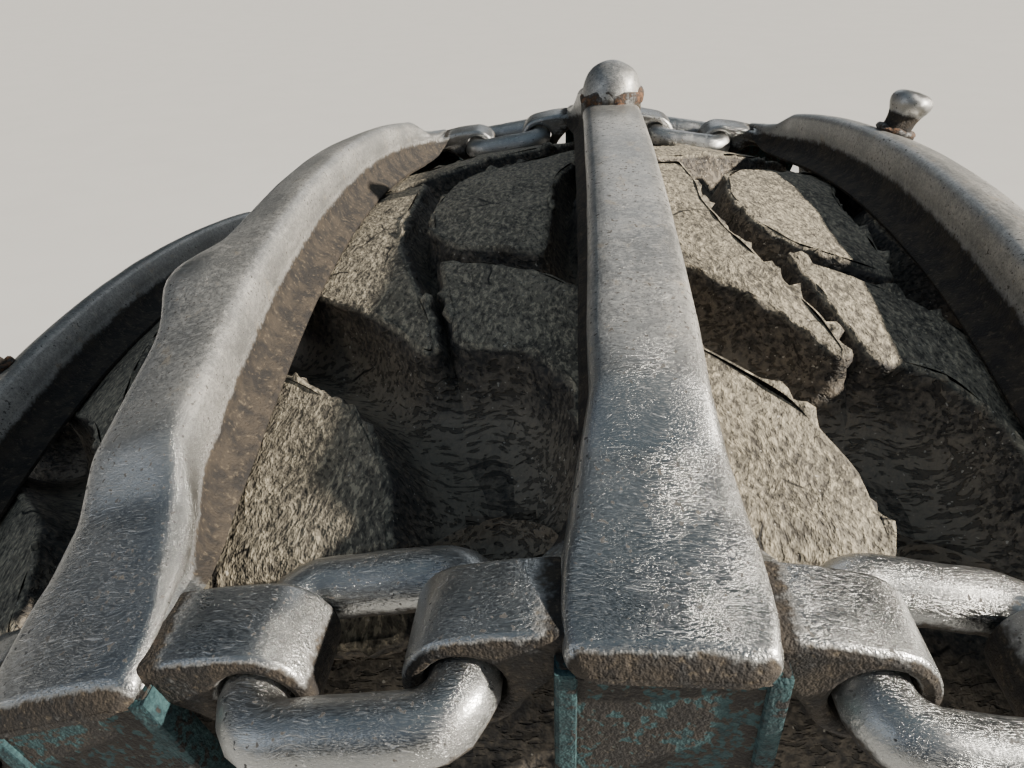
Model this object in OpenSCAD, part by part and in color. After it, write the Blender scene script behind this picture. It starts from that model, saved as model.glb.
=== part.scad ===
// Tracked wheel of a forestry machine: axle end, hub, rim, tyre and a steel track wrapped on the tyre.
// Millimetres. X is the direction of travel, Y the axle with the machine's side at +Y, Z is up.
// The origin is the centre of the axle end's mounting face.

/* [Layout] */
// Distance from the mounting face to the tyre's middle plane
wheel_offset = 440; // [430:1:470]

/* [Tyre] */
// Diameter over the worn lugs at the middle of the tread
tyre_d = 1336; // [1300:1:1350]
// Width of the tyre at its widest place
tyre_w = 710; // [700:1:712]
// Depth of the worn lugs at the middle of the tread
lug_depth = 42; // [30:1:50]
// Number of long lugs on each side
lug_count = 20; // [18:1:22]

/* [Rim] */
// Diameter of the bead seats
rim_d = 673; // [660:1:680]
// Width between the rim's flanges
rim_w = 610; // [600:1:615]
// Height of the rim's flanges over the bead seats
flange_h = 38; // [30:1:40]
// Thickness of the rim barrel
barrel_t = 14; // [10:1:18]
// Depth of the drop well under the bead seats
well_depth = 26; // [15:1:32]
// Thickness of the rim disc
disc_t = 20; // [14:1:24]
// Distance of the disc's hub face outboard of the tyre's middle plane
disc_set = 30; // [10:1:60]

/* [Hub] */
// Diameter of the disc's centre hole
spigot_d = 281; // [260:1:290]
// Distance from the centre hole's edge to the circle of wheel studs
stud_inset = 27; // [25:1:32]
// Number of wheel studs
stud_count = 10; // [8:1:12]
// Thread diameter of the wheel studs
stud_d = 22; // [20:1:24]
// Distance from the disc to the end face of the planet drum
drum_len = 120; // [90:1:150]

/* [Axle end] */
// Width of the mounting flange outside its circle of bolts
mount_edge = 25; // [20:1:32]
// Thickness of the mounting flange
mount_t = 26; // [20:1:32]
// Diameter of the circle of mounting bolts
mount_pcd = 380; // [370:1:388]
// Number of mounting bolts
mount_count = 16; // [12:1:18]
// Diameter of the mounting bolt holes
mount_hole_d = 22; // [18:1:24]
// Diameter of the centring recess in the mounting face
recess_d = 260; // [220:1:290]
// Depth of the centring recess
recess_depth = 12; // [8:1:16]

/* [Track shoe] */
// Number of track shoes round the tyre
shoe_count = 20; // [20:1:20]
// Radius of the crossbars' arch from paddle to paddle, over their tops
crown_r = 1196; // [1150:1:1400]
// Width of the crossbar's head
bar_w = 44; // [40:1:46]
// Height of the crossbar
bar_h = 50; // [44:1:54]
// Width of the crossbar's foot that lies on the lugs
foot_w = 52; // [48:1:56]
// Thickness of the crossbar's foot
foot_t = 6; // [4:1:8]
// Width of the paddle at the outer end of a shoe
paddle_w = 64; // [60:1:68]
// Distance from the tyre's wall to the paddle's rounded end
paddle_out = 23; // [22:1:26]
// Thickness of the side plates
plate_t = 10; // [8:1:11]
// Length of the side plates below the paddle
plate_len = 108; // [90:1:125]
// Height of the welded horns
horn_h = 32; // [28:1:40]

/* [Track links] */
// Diameter of the ring's round bar
ring_bar_d = 24; // [20:1:25]
// Outer length of a ring in the direction of travel
ring_len = 95; // [92:1:97]
// Difference in radius between the straps' tops and the circle of the eyes round the axle
eye_drop = 22; // [21:1:25]
// Play between the ring's bar and the eye
eye_play = 3; // [1:0.5:4]
// Width of the straps across the track
strap_w = 36; // [33:1:38]

/* [Hidden] */
$fn = 64;
// Gap left between pieces that are fitted together
seat_gap = 0.3;
tyre_r = tyre_d / 2;
pitch_angle = 360 / shoe_count;

SHOES = [for (i = [1 : shoe_count]) str("shoe_", i < 10 ? "0" : "", i)];

// Points of an arc in the plane, from angle a to angle b in n steps
function arc(cx, cy, r, a, b, n) = [
    for (i = [0 : n]) let (t = a + (b - a) * i / n) [cx + r * cos(t), cy + r * sin(t)]];
// Radius of a surface arched across the wheel, given its radius at the middle, its arch's radius and the place
function arch(top, arch_r, v) = top - arch_r + sqrt(arch_r * arch_r - v * v);
// A half outline [radius, place across] made whole by its mirror image
function both_sides(half) = concat(half, [for (i = [len(half) - 1 : -1 : 0]) [half[i][0], -half[i][1]]]);

// Puts a piece drawn round the Z axis, outboard upwards, on the wheel's axle
module on_axle() translate([0, -wheel_offset, 0]) rotate([90, 0, 0]) children();
// Puts a piece drawn at the top of the wheel at an angle round the axle
module round_wheel(angle) translate([0, -wheel_offset, 0]) rotate([0, angle, 0]) children();

// Axle end
mount_face = -wheel_offset;
nose_r = 70;
nose_len = 90;
mount_d = mount_pcd + 2 * mount_edge;
hub_face = disc_set;
disc_to_carrier = 96;
carrier_end = hub_face - disc_t - disc_to_carrier;

module mount_flange() {
    color("dimgray") on_axle() difference() {
        translate([0, 0, mount_face]) cylinder(h = mount_t, d = mount_d);
        translate([0, 0, mount_face - 1]) cylinder(h = recess_depth + 1, d = recess_d);
        for (i = [0 : mount_count - 1]) rotate([0, 0, i * 360 / mount_count])
            translate([mount_pcd / 2, 0, mount_face - 1]) cylinder(h = mount_t + 2, d = mount_hole_d);
    }
}

carrier_root_r = mount_pcd / 2 - 28;
carrier_neck_r = 118;
carrier_drum_r = 150;
module hub_carrier() {
    z0 = mount_face + mount_t;
    color("dimgray") on_axle() {
        rotate_extrude() polygon([
            [0, z0], [carrier_root_r, z0], [carrier_root_r - 4, z0 + 14], [carrier_neck_r + 6, z0 + 70],
            [carrier_neck_r, z0 + 100], [carrier_neck_r, carrier_end - 90], [carrier_drum_r, carrier_end - 70],
            [carrier_drum_r, carrier_end], [nose_r, carrier_end], [nose_r, carrier_end + nose_len],
            [0, carrier_end + nose_len]]);
        for (i = [0 : 7]) rotate([0, 0, 22.5 + i * 45]) translate([0, -6, 0]) rotate([90, 0, 0])
            translate([0, 0, -12]) linear_extrude(12) polygon([
                [carrier_neck_r - 4, z0 + 2], [carrier_root_r - 2, z0 + 2], [carrier_neck_r - 4, z0 + 96]]);
    }
}

// Hub
stud_pcd = spigot_d + 2 * stud_inset;
hub_flange_r = stud_pcd / 2 + 30;
hub_back = carrier_end + 8;
module planet_drum() {
    drum_r = spigot_d / 2 - seat_gap;
    back = hub_face - disc_t;
    bore_r = nose_r + seat_gap;
    color("dimgray") on_axle() rotate_extrude() polygon([
        [bore_r, hub_back], [carrier_drum_r, hub_back], [carrier_drum_r + 6, hub_back + 10],
        [carrier_drum_r + 6, back - 30],
        [hub_flange_r - 6, back - 26], [hub_flange_r, back - 20], [hub_flange_r, back], [drum_r, back],
        [drum_r, hub_face + drum_len - 12], [drum_r - 12, hub_face + drum_len], [0, hub_face + drum_len],
        [0, carrier_end + nose_len + 6], [bore_r, carrier_end + nose_len + 6]]);
}

cover_r = spigot_d / 2 - 22;
cover_t = 16;
cover_bolts = 12;
module drum_cover() {
    z0 = hub_face + drum_len;
    color("dimgray") on_axle() {
        rotate_extrude() polygon([
            [0, z0], [cover_r, z0], [cover_r, z0 + cover_t - 3], [cover_r - 3, z0 + cover_t],
            [66, z0 + cover_t], [56, z0 + cover_t + 10], [0, z0 + cover_t + 12]]);
        for (i = [0 : cover_bolts - 1]) rotate([0, 0, i * 360 / cover_bolts])
            translate([cover_r - 13, 0, z0 + cover_t - 1]) cylinder(h = 9, d = 18, $fn = 6);
    }
}

// Rim
seat_r = rim_d / 2;
lip_r = seat_r + flange_h;
half_rim = rim_w / 2;
well_r = seat_r - well_depth;
hump = 34;
seat_len = 100;
well_slope = 50;
module rim_barrel() {
    half = [[well_r, 0], [well_r, half_rim - seat_len - well_slope], [seat_r - 4, half_rim - seat_len],
            [seat_r, half_rim - hump],
            [seat_r, half_rim - 6], [seat_r + 6, half_rim], [lip_r - 8, half_rim], [lip_r, half_rim + 6],
            [lip_r, half_rim + 14], [lip_r - 8, half_rim + 17], [seat_r, half_rim + barrel_t],
            [seat_r - barrel_t, half_rim - 2], [seat_r - barrel_t - 4, half_rim - seat_len + 8],
            [well_r - barrel_t, half_rim - seat_len - well_slope + 4], [well_r - barrel_t, 0]];
    color("gray") on_axle() rotate_extrude() polygon(both_sides(half));
}

dish_r = stud_pcd / 2 + 34;
disc_edge_r = well_r - barrel_t - seat_gap;
disc_rise = 40;
module rim_disc() {
    back = hub_face - disc_t;
    color("gray") on_axle() difference() {
        rotate_extrude() polygon([
            [spigot_d / 2, back], [dish_r, back], [disc_edge_r - 22, back - disc_rise],
            [disc_edge_r, back - disc_rise],
            [disc_edge_r, hub_face - disc_rise + 4], [disc_edge_r - 16, hub_face - disc_rise + 4],
            [dish_r + 6, hub_face], [spigot_d / 2, hub_face]]);
        for (i = [0 : stud_count - 1]) rotate([0, 0, (i + 0.5) * 360 / stud_count])
            translate([stud_pcd / 2, 0, back - 1]) cylinder(h = disc_t + 2, d = stud_d + 3);
    }
}

nut_h = 22;
nut_af = 32;
nut_rim_r = 24;
module wheel_nuts() {
    color("silver") on_axle() for (i = [0 : stud_count - 1]) rotate([0, 0, (i + 0.5) * 360 / stud_count])
        translate([stud_pcd / 2, 0, hub_face - disc_t]) {
            cylinder(h = disc_t + nut_h + 14, d = stud_d);
            translate([0, 0, disc_t]) cylinder(h = 6, r = nut_rim_r);
            translate([0, 0, disc_t + 5]) cylinder(h = nut_h, d = nut_af / cos(30), $fn = 6);
        }
}

valve_reach = 46;
module valve() {
    color("silver") on_axle() rotate([0, 0, 90]) translate([seat_r - barrel_t - 4, 0, half_rim - 62]) {
        rotate([0, -90, 0]) cylinder(h = 14, d = 20);
        translate([-10, 0, 0]) rotate([0, -40, 0]) cylinder(h = valve_reach, d = 10);
    }
}

// Tyre
half_tyre = tyre_w / 2;
lug_edge = half_tyre - 55;
tread_arch_r = crown_r - bar_h;
// Carcass between the lugs, from the bead over the sidewall to the middle of the tread: [radius, place across]
function carcass_half(base) = concat(
    [[seat_r + seat_gap, 0], [seat_r + seat_gap, half_rim - 8], [seat_r + 8, half_rim - seat_gap],
     [lip_r + 2, half_rim - seat_gap], [lip_r + 18, half_rim + 14], [lip_r + 56, half_tyre - 14],
     [lip_r + 96, half_tyre - 2], [lip_r + 128, half_tyre], [tyre_r - 138, half_tyre - 4],
     [tyre_r - 108, half_tyre - 14], [tyre_r - 84, half_tyre - 30], [tyre_r - 68, lug_edge]],
    [for (k = [5 : -1 : 0]) let (v = k * lug_edge / 6) [arch(base, tread_arch_r, v), v]]);
// Envelope of the lugs' tops and shoulder ends, rooted inside the carcass: [radius, place across]
lug_root = 60;
function lug_half(base, top) = concat(
    [[base - lug_root, 0], [base - lug_root, lug_edge - 20], [tyre_r - 128, half_tyre - 8],
     [tyre_r - 104, half_tyre - 10], [tyre_r - 84, half_tyre - 18], [tyre_r - 70, half_tyre - 34],
     [tyre_r - 64, half_tyre - 48], [tyre_r - 46, half_tyre - 50]],
    [for (k = [10 : -1 : 0]) let (v = k * lug_edge / 10) [arch(top, tread_arch_r, v), v]]);

// Outlines of a side's two lugs, seen from above, on a tyre this half width: [along the travel, outboard]
LUGS_HALF_TYRE = 355;
LONG_LUG = [[-112, 88], [-71, 106], [-44, 119], [-19, 144], [10, 170], [41, 195], [76, 226], [96, 264],
            [103, 306], [103, 360], [-30, 360], [-26, 260], [-30, 222], [-52, 193], [-90, 187], [-98, 152],
            [-106, 118]];
CENTRE_LUG = [[2, -76], [60, -98], [64, -33], [62, 10], [70, 63], [88, 112], [104, 155], [112, 190], [103, 192],
              [80, 162], [55, 133], [27, 112], [-2, 92], [-18, 63], [-26, 5], [-18, -45]];

// A lug cut from the tread's envelope, drawn at the top of the wheel
module lug(outline, low) intersection() {
    rotate([90, 0, 0]) rotate_extrude($fn = 160) polygon(both_sides(lug_half(tyre_r - lug_depth, tyre_r)));
    translate([0, 0, low]) linear_extrude(tyre_r + 12 - low)
        polygon([for (p = outline) [p[0], -p[1] * half_tyre / LUGS_HALF_TYRE]]);
}

module lugs() for (i = [0 : lug_count - 1]) rotate([0, i * 360 / lug_count, 0]) {
    lug(LONG_LUG, tyre_r - 140);
    lug(CENTRE_LUG, tyre_r - 66);
}

module tyre() {
    color([0.16, 0.15, 0.14]) translate([0, -wheel_offset, 0]) {
        rotate([90, 0, 0]) rotate_extrude($fn = 160) polygon(both_sides(carcass_half(tyre_r - lug_depth)));
        lugs();
        rotate([0, 180 / lug_count, 0]) mirror([0, 1, 0]) lugs();
    }
}

// Track shoe, drawn at the top of the wheel: X along the travel, Y outboard, Z away from the axle
bar_top = tyre_r + bar_h + seat_gap;
paddle_reach = half_tyre + paddle_out;
neck_at = half_tyre - 77;
knee_at = half_tyre - 55;
neck_top = arch(bar_top, crown_r, neck_at);
half_paddle = paddle_w / 2;
plate_out = paddle_reach - 3;
strap_top = neck_top - 35.5;
strap_t = 16;
strap_mid = paddle_reach - 27;
eye_wall = 7;
eye_bore_r = ring_bar_d / 2 + eye_play / 2;
hook_r = eye_bore_r + eye_wall;
eye_r = strap_top - eye_drop;
eye_half_angle = pitch_angle / 2 - asin((ring_len / 2 - ring_bar_d / 2) / eye_r);
eye_x = eye_r * sin(eye_half_angle);
eye_z = eye_r * cos(eye_half_angle);

// Closed skin over rings of points, all with as many points as the first
module loft(rings) {
    n = len(rings[0]);
    m = len(rings);
    points = [for (ring = rings) each ring];
    low_cap = [for (i = [1 : n - 2]) [0, i, i + 1]];
    high_cap = [for (i = [1 : n - 2]) [(m - 1) * n, (m - 1) * n + i + 1, (m - 1) * n + i]];
    sides = [for (j = [0 : m - 2], i = [0 : n - 1], k = [0, 1]) let (a = j * n + i, b = j * n + (i + 1) % n)
        k == 0 ? [a, a + n, b] : [b, a + n, b + n]];
    polyhedron(points = points, faces = concat(low_cap, high_cap, sides));
}

// Section of the shoe's end across the travel: half width, low and high side, rounding of the top edges
function end_ring(at, half_w, low, high, r) = [
    [-half_w, at, low], [-half_w, at, high - r], [-half_w + 0.3 * r, at, high - 0.3 * r],
    [-half_w + r, at, high],
    [half_w - r, at, high], [half_w - 0.3 * r, at, high - 0.3 * r], [half_w, at, high - r], [half_w, at, low]];

// Shoe's end from the crossbar's neck to the paddle's lip:
// [place across, half width, low side, high side, edge rounding]
END_SECTIONS = [
    [neck_at - 8, bar_w / 2 - 1, neck_top - 38, neck_top + 0.8, 8],
    [neck_at, bar_w / 2 + 1, neck_top - 42, neck_top, 9],
    [knee_at, half_paddle - 4.5, neck_top - 46, neck_top - 15, 9],
    [knee_at + 22, half_paddle - 1, neck_top - 46, neck_top - 21.5, 10],
    [paddle_reach - 30, half_paddle + 0.5, neck_top - 46, neck_top - 28, 10],
    [paddle_reach - 11, half_paddle + 0.5, neck_top - 46, neck_top - 31.5, 8],
    [paddle_reach - 3, half_paddle - 1, neck_top - 46, neck_top - 35.5, 6],
    [paddle_reach, half_paddle - 6, neck_top - 45, neck_top - 41, 2]];

module crossbar() {
    half_angle = asin((neck_at - 2) / crown_r);
    base = crown_r - bar_h;
    head = bar_w / 2;
    foot = foot_w / 2;
    half = concat(
        [[base, 0], [base, foot], [base + foot_t, foot], [base + foot_t + 6, head - 4],
         [base + bar_h - 20, head]],
        arc(crown_r - 8, head - 8, 8, 90, 0, 4), [[crown_r, 0]]);
    translate([0, 0, bar_top - crown_r]) rotate([0, -90, 0]) rotate([0, 0, -half_angle])
        rotate_extrude(angle = 2 * half_angle, $fn = 128) polygon(both_sides(half));
}

// Strap under the paddle, seen along the axle: a low arch whose two ends turn down and round the rings' bars
module strap() {
    low = strap_top - strap_t;
    shoulder = [eye_x + hook_r * cos(72), eye_z + hook_r * sin(72)];
    arch_side = [[0, strap_top], [half_paddle + 6, strap_top], [half_paddle + 16, strap_top - 1.2], shoulder];
    hook_side = [[eye_x, eye_z], [eye_x - hook_r, eye_z], [half_paddle - 4, low + 1], [0, low]];
    translate([0, strap_mid + strap_w / 2, 0]) rotate([90, 0, 0]) difference() {
        linear_extrude(strap_w) for (side = [0, 1]) mirror([side, 0, 0]) {
            polygon(concat(arch_side, hook_side));
            translate([eye_x, eye_z]) circle(r = hook_r);
        }
        for (side = [-1, 1]) translate([side * eye_x, eye_z, -1]) cylinder(h = strap_w + 2, r = eye_bore_r);
    }
}

// Side plate that hangs from the paddle and guides the tyre's wall
module side_plate() {
    high = strap_top - 7;
    low = high - plate_len;
    half = half_paddle + 2;
    translate([0, plate_out, 0]) rotate([90, 0, 0]) linear_extrude(plate_t) polygon(concat(
        [[-half, high], [half, high]],
        arc(half - 22, low + 16, 16, 0, -90, 4),
        arc(-half + 22, low + 16, 16, -90, -180, 4)));
}

module shoe_end() {
    loft([for (s = END_SECTIONS) end_ring(s[0], s[1], s[2], s[3], s[4])]);
    strap();
    side_plate();
}

// Stands a piece on the crossbar's top, at a place across the track and a place along the travel
module on_bar(across, along) translate([0, 0, bar_top - crown_r]) rotate([-asin(across / crown_r), 0, 0])
    translate([along, 0, crown_r]) children();

// Horn welded on the crossbar: a domed head, on a neck where the ground hasn't worn it down to one
horn_foot = 9;
module horn(height, neck_r, head_r) {
    necked = neck_r < head_r;
    middle = necked ? height - 9.5 : 6;
    rotate_extrude() polygon(concat(
        [[0, -horn_foot], [neck_r, -horn_foot], [neck_r, necked ? middle - 9 : middle - 1]],
        [for (t = [necked ? -36 : 0 : 18 : 72]) [head_r * cos(t), middle + (height - middle) * sin(t)]],
        [[0, height]]));
}

// Stub of a horn worn down to its weld, which is spread along the crossbar's edge
stub_len = 80;
stub_w = 36;
stub_h = 8;
module oblong(w, len) {
    square([w, len - w], center = true);
    for (s = [-1, 1]) translate([0, s * (len - w) / 2]) circle(d = w);
}
module stub() {
    translate([0, 0, -16]) linear_extrude(16 + stub_h * 0.4) oblong(stub_w, stub_len);
    linear_extrude(stub_h) oblong(stub_w - 14, stub_len - 20);
}

// Horns in turn from shoe to shoe: [place across, place along, share of the height left, neck radius, head radius]
HORNS = [[-58, 0, 0.83, 21.5, 21.5], [-99, 0, 1, 10.5, 16.3], [99, 0, 1, 10.5, 16.3], [148, -14, 0, 0, 0]];

module shoe(i) {
    horn_row = HORNS[i % len(HORNS)];
    color([0.62, 0.63, 0.62]) round_wheel(i * pitch_angle) mirror([0, 1, 0]) {
        crossbar();
        shoe_end();
        mirror([0, 1, 0]) shoe_end();
        on_bar(horn_row[0], horn_row[1]) {
            if (horn_row[2] > 0) horn(horn_h * horn_row[2], horn_row[3], horn_row[4]);
            else stub();
        }
    }
}

// Ring link of round bar between two neighbouring shoes
ring_w = strap_w + 2 * ring_bar_d + 3;
corner_r = 15;
module ring_link() {
    half_l = ring_len / 2 - ring_bar_d / 2;
    half_w = ring_w / 2 - ring_bar_d / 2;
    for (sx = [0, 1], sy = [0, 1]) mirror([sx, 0, 0]) mirror([0, sy, 0]) {
        translate([half_l - corner_r, half_w - corner_r, 0])
            rotate_extrude(angle = 90) translate([corner_r, 0]) circle(d = ring_bar_d, $fn = 32);
    }
    for (s = [-1, 1]) {
        translate([-half_l + corner_r, s * half_w, 0]) rotate([0, 90, 0])
            cylinder(h = 2 * (half_l - corner_r), d = ring_bar_d, $fn = 32);
        translate([s * half_l, half_w - corner_r, 0]) rotate([90, 0, 0])
            cylinder(h = 2 * (half_w - corner_r), d = ring_bar_d, $fn = 32);
    }
}

ring_plane_r = eye_r * cos(pitch_angle / 2 - eye_half_angle);
module rings(side) {
    color([0.5, 0.5, 0.5]) for (i = [0 : shoe_count - 1]) round_wheel((i + 0.5) * pitch_angle)
        translate([0, side * strap_mid, ring_plane_r]) ring_link();
}
module rings_outboard() rings(-1);
module rings_inboard() rings(1);

mount_flange();
hub_carrier();
planet_drum();
drum_cover();
rim_barrel();
rim_disc();
wheel_nuts();
valve();
tyre();
rings_outboard();
rings_inboard();
for (i = [0 : shoe_count - 1]) shoe(i);
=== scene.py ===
"""Tracked wheel of a forestry machine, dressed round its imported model."""
import math

import bpy
import numpy as np
from mathutils import Matrix, Vector
from mathutils.geometry import delaunay_2d_cdt


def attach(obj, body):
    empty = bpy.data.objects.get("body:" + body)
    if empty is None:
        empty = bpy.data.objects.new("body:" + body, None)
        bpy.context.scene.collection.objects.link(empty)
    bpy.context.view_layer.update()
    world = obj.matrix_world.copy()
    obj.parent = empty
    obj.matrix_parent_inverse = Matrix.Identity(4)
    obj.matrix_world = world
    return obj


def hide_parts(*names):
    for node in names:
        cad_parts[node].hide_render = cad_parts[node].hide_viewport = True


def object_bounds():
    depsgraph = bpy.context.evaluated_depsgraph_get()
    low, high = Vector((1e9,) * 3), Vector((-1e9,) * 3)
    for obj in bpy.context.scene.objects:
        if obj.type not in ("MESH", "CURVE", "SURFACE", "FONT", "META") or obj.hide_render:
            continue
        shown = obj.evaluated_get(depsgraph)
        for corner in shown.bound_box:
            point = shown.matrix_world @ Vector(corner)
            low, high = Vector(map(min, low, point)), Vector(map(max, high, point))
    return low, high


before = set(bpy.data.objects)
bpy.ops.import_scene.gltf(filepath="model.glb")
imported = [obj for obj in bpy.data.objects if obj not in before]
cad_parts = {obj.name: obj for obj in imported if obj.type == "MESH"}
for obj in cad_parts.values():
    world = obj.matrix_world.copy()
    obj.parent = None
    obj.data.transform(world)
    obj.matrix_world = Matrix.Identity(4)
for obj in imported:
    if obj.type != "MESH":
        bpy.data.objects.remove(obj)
cad_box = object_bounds()

# Camera. It stands half a metre outboard of the track, a little above it, and looks down
# along the crossbar at the top of the wheel, as in the photograph.
CAMERA_AT = Vector((-0.0306, -0.960, 0.831))
YAW, PITCH, ROLL = -0.0867, 0.5501, -0.0419
FOCAL_PX, FRAME_PX = 756.2, 1024
ahead = Vector((math.sin(YAW) * math.cos(PITCH), math.cos(YAW) * math.cos(PITCH), -math.sin(PITCH)))
level = ahead.cross(Vector((0, 0, 1))).normalized()
above = level.cross(ahead)
right = level * math.cos(ROLL) + above * math.sin(ROLL)
up = above * math.cos(ROLL) - level * math.sin(ROLL)
lens = bpy.data.cameras.new("camera")
lens.sensor_width = 36
lens.lens = FOCAL_PX / FRAME_PX * lens.sensor_width
lens.clip_start = 0.02
camera = bpy.data.objects.new("camera", lens)
camera.matrix_world = Matrix((
    (right.x, up.x, -ahead.x, CAMERA_AT.x), (right.y, up.y, -ahead.y, CAMERA_AT.y),
    (right.z, up.z, -ahead.z, CAMERA_AT.z), (0, 0, 0, 1)))
bpy.context.scene.collection.objects.link(camera)
bpy.context.scene.camera = camera

# Floor and studio light. A pale matt floor under a soft dome that is blue overhead and dark behind the wheel,
# one small warm lamp far to the right, as low as the sun was, and two wide dim lamps that open the shadows.


class Wire:
    """One output socket of a shader or geometry tree; sums and products with it add Math nodes to the tree."""

    def __init__(self, tree, socket):
        self.tree, self.socket = tree, socket

    def maths(self, kind, *others, clamp=False):
        settings = {"operation": kind, "use_clamp": clamp}
        return add(self.tree, "ShaderNodeMath", settings, dict(enumerate((self,) + others)))

    def __add__(self, other):
        return self.maths("ADD", other)

    __radd__ = __add__

    def __mul__(self, other):
        return self.maths("MULTIPLY", other)

    __rmul__ = __mul__

    def __sub__(self, other):
        return self.maths("SUBTRACT", other)

    def __rsub__(self, other):
        return add(self.tree, "ShaderNodeMath", {"operation": "SUBTRACT"}, {0: other, 1: self})

    def __pow__(self, other):
        return self.maths("POWER", other)

    def limit(self):
        return self.maths("MULTIPLY", 1.0, clamp=True)

    def rise(self, low, high):
        """0 below low, 1 above high, and a smooth rise between them; a fall where low is the greater."""
        settings = {"interpolation_type": "SMOOTHSTEP"}
        ends = (low, high, 0.0, 1.0) if low < high else (high, low, 1.0, 0.0)
        return add(self.tree, "ShaderNodeMapRange", settings, dict(enumerate((self,) + ends)))


def add(tree, kind, settings=None, sockets=None, out=0):
    """A node of that type in the tree: its settings are set first, then its sockets' values or links."""
    node = tree.nodes.new(kind)
    for name, value in (settings or {}).items():
        if name == "stops":
            elements = node.color_ramp.elements
            while len(elements) < len(value):
                elements.new(0.5)
            for stop, (place, colour) in zip(elements, value):
                stop.position, stop.color = place, (*colour, 1)
        else:
            setattr(node, name, value)
    for name, value in (sockets or {}).items():
        if isinstance(value, Wire):
            tree.links.new(value.socket, node.inputs[name])
        else:
            node.inputs[name].default_value = value
    return Wire(tree, node.outputs[out]) if node.outputs else node


class Finish:
    """A material in the making. Its patterns lie on the object's own coordinates, or on a mesh attribute."""

    def __init__(self, name, field=None):
        self.material = bpy.data.materials.new(name)
        self.material.use_nodes = True
        self.tree = self.material.node_tree
        self.tree.nodes.clear()
        if field:
            self.place = self.attribute(field, 1)
        else:
            self.place = self.add("ShaderNodeTexCoord", out=3)

    def add(self, kind, settings=None, sockets=None, out=0):
        return add(self.tree, kind, settings, sockets, out)

    def attribute(self, name, out=2):
        return self.add("ShaderNodeAttribute", {"attribute_name": name}, out=out)

    def noise(self, size, detail=4, rough=0.55, warp=0.0, at=None):
        """Fractal noise whose lumps are about size metres across."""
        return self.add("ShaderNodeTexNoise", None, {"Vector": at or self.place, "Scale": 1 / size,
                                                     "Detail": detail, "Roughness": rough, "Distortion": warp})

    def mix(self, share, low, high):
        low, high = [(*c, 1) if isinstance(c, tuple) else c for c in (low, high)]
        return self.add("ShaderNodeMix", {"data_type": "RGBA"}, {0: share, 6: low, 7: high}, out=2)

    def coats(self, colour, *coats):
        """A colour under coats of (share, colour), the last on top."""
        for share, coat in coats:
            colour = self.mix(share, colour, coat)
        return colour

    def bump(self, height, depth, under=None):
        sockets = {"Height": height, "Strength": 1.0, "Distance": depth}
        if under:
            sockets["Normal"] = under
        return self.add("ShaderNodeBump", None, sockets)

    def close(self, **sockets):
        sockets = {label.replace("_", " "): value for label, value in sockets.items()}
        shader = self.add("ShaderNodeBsdfPrincipled", None, sockets)
        self.add("ShaderNodeOutputMaterial", None, {"Surface": shader})
        return self.material


FLOOR_REACH = 60.0
corners = [(x * FLOOR_REACH, y * FLOOR_REACH, cad_box[0].z) for x, y in ((-1, -1), (1, -1), (1, 1), (-1, 1))]
floor_mesh = bpy.data.meshes.new("floor")
floor_mesh.from_pydata(corners, [], [(0, 1, 2, 3)])
floor = bpy.data.objects.new("floor", floor_mesh)
bpy.context.scene.collection.objects.link(floor)
pale = Finish("pale_floor")
floor_mesh.materials.append(pale.close(
    Base_Color=pale.mix(pale.noise(0.4), (0.54, 0.535, 0.52), (0.59, 0.585, 0.57)), Roughness=0.85))

world = bpy.data.worlds.new("studio")
bpy.context.scene.world = world
world.use_nodes = True
world.node_tree.nodes.clear()
dome = world.node_tree
direction = add(dome, "ShaderNodeTexCoord", out=0)
behind, height = [add(dome, "ShaderNodeSeparateXYZ", None, {0: direction}, out=k) for k in (1, 2)]
# Colours of the dome from straight below (0) over the horizon (0.5) to straight above (1)
sky = add(dome, "ShaderNodeValToRGB", {"stops": [
    (0.0, (0.30, 0.29, 0.28)), (0.5, (0.32, 0.32, 0.31)), (0.64, (0.21, 0.22, 0.23)),
    (0.86, (0.34, 0.44, 0.60)), (1.0, (0.66, 0.86, 1.0))]}, {0: height * 0.5 + 0.5})
SHADE_SHARE, SHADE_COLOUR, DOME_LIGHT = 0.80, (0.07, 0.08, 0.08, 1), 0.37
shade = behind.rise(0.22, 0.38) * height.rise(0.05, 0.30) * SHADE_SHARE
shaded_sky = add(dome, "ShaderNodeMix", {"data_type": "RGBA"}, {0: shade, 6: sky, 7: SHADE_COLOUR}, out=2)
backdrop = add(dome, "ShaderNodeBackground", None, {"Color": shaded_sky, "Strength": DOME_LIGHT})
add(dome, "ShaderNodeOutputWorld", None, {"Surface": backdrop})


def place_lamp(lamp, place, aim):
    """The lamp's object at a place, turned to a point."""
    light = bpy.data.objects.new(lamp.name, lamp)
    light.location = place
    light.rotation_euler = (Vector(aim) - Vector(place)).to_track_quat("-Z", "Y").to_euler()
    bpy.context.scene.collection.objects.link(light)


key = bpy.data.lights.new("key", "SUN")
key.energy, key.angle, key.color = 12.5, math.radians(1.5), (1.0, 0.92, 0.80)
place_lamp(key, (0.890, -0.125, 0.438), (0, 0, 0))
for name, place, aim, size, power, colour in (
        ("fill", (-3.2, -2.4, 2.2), (0, -0.5, 0.3), 2.4, 20, (0.80, 0.89, 1.0)),
        ("back", (0.5, 3.4, 2.6), (0, -0.3, 0.4), 2.0, 18, (0.90, 0.95, 1.0))):
    soft = bpy.data.lights.new(name, "AREA")
    soft.size, soft.energy, soft.color = size, power, colour
    place_lamp(soft, place, aim)


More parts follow.
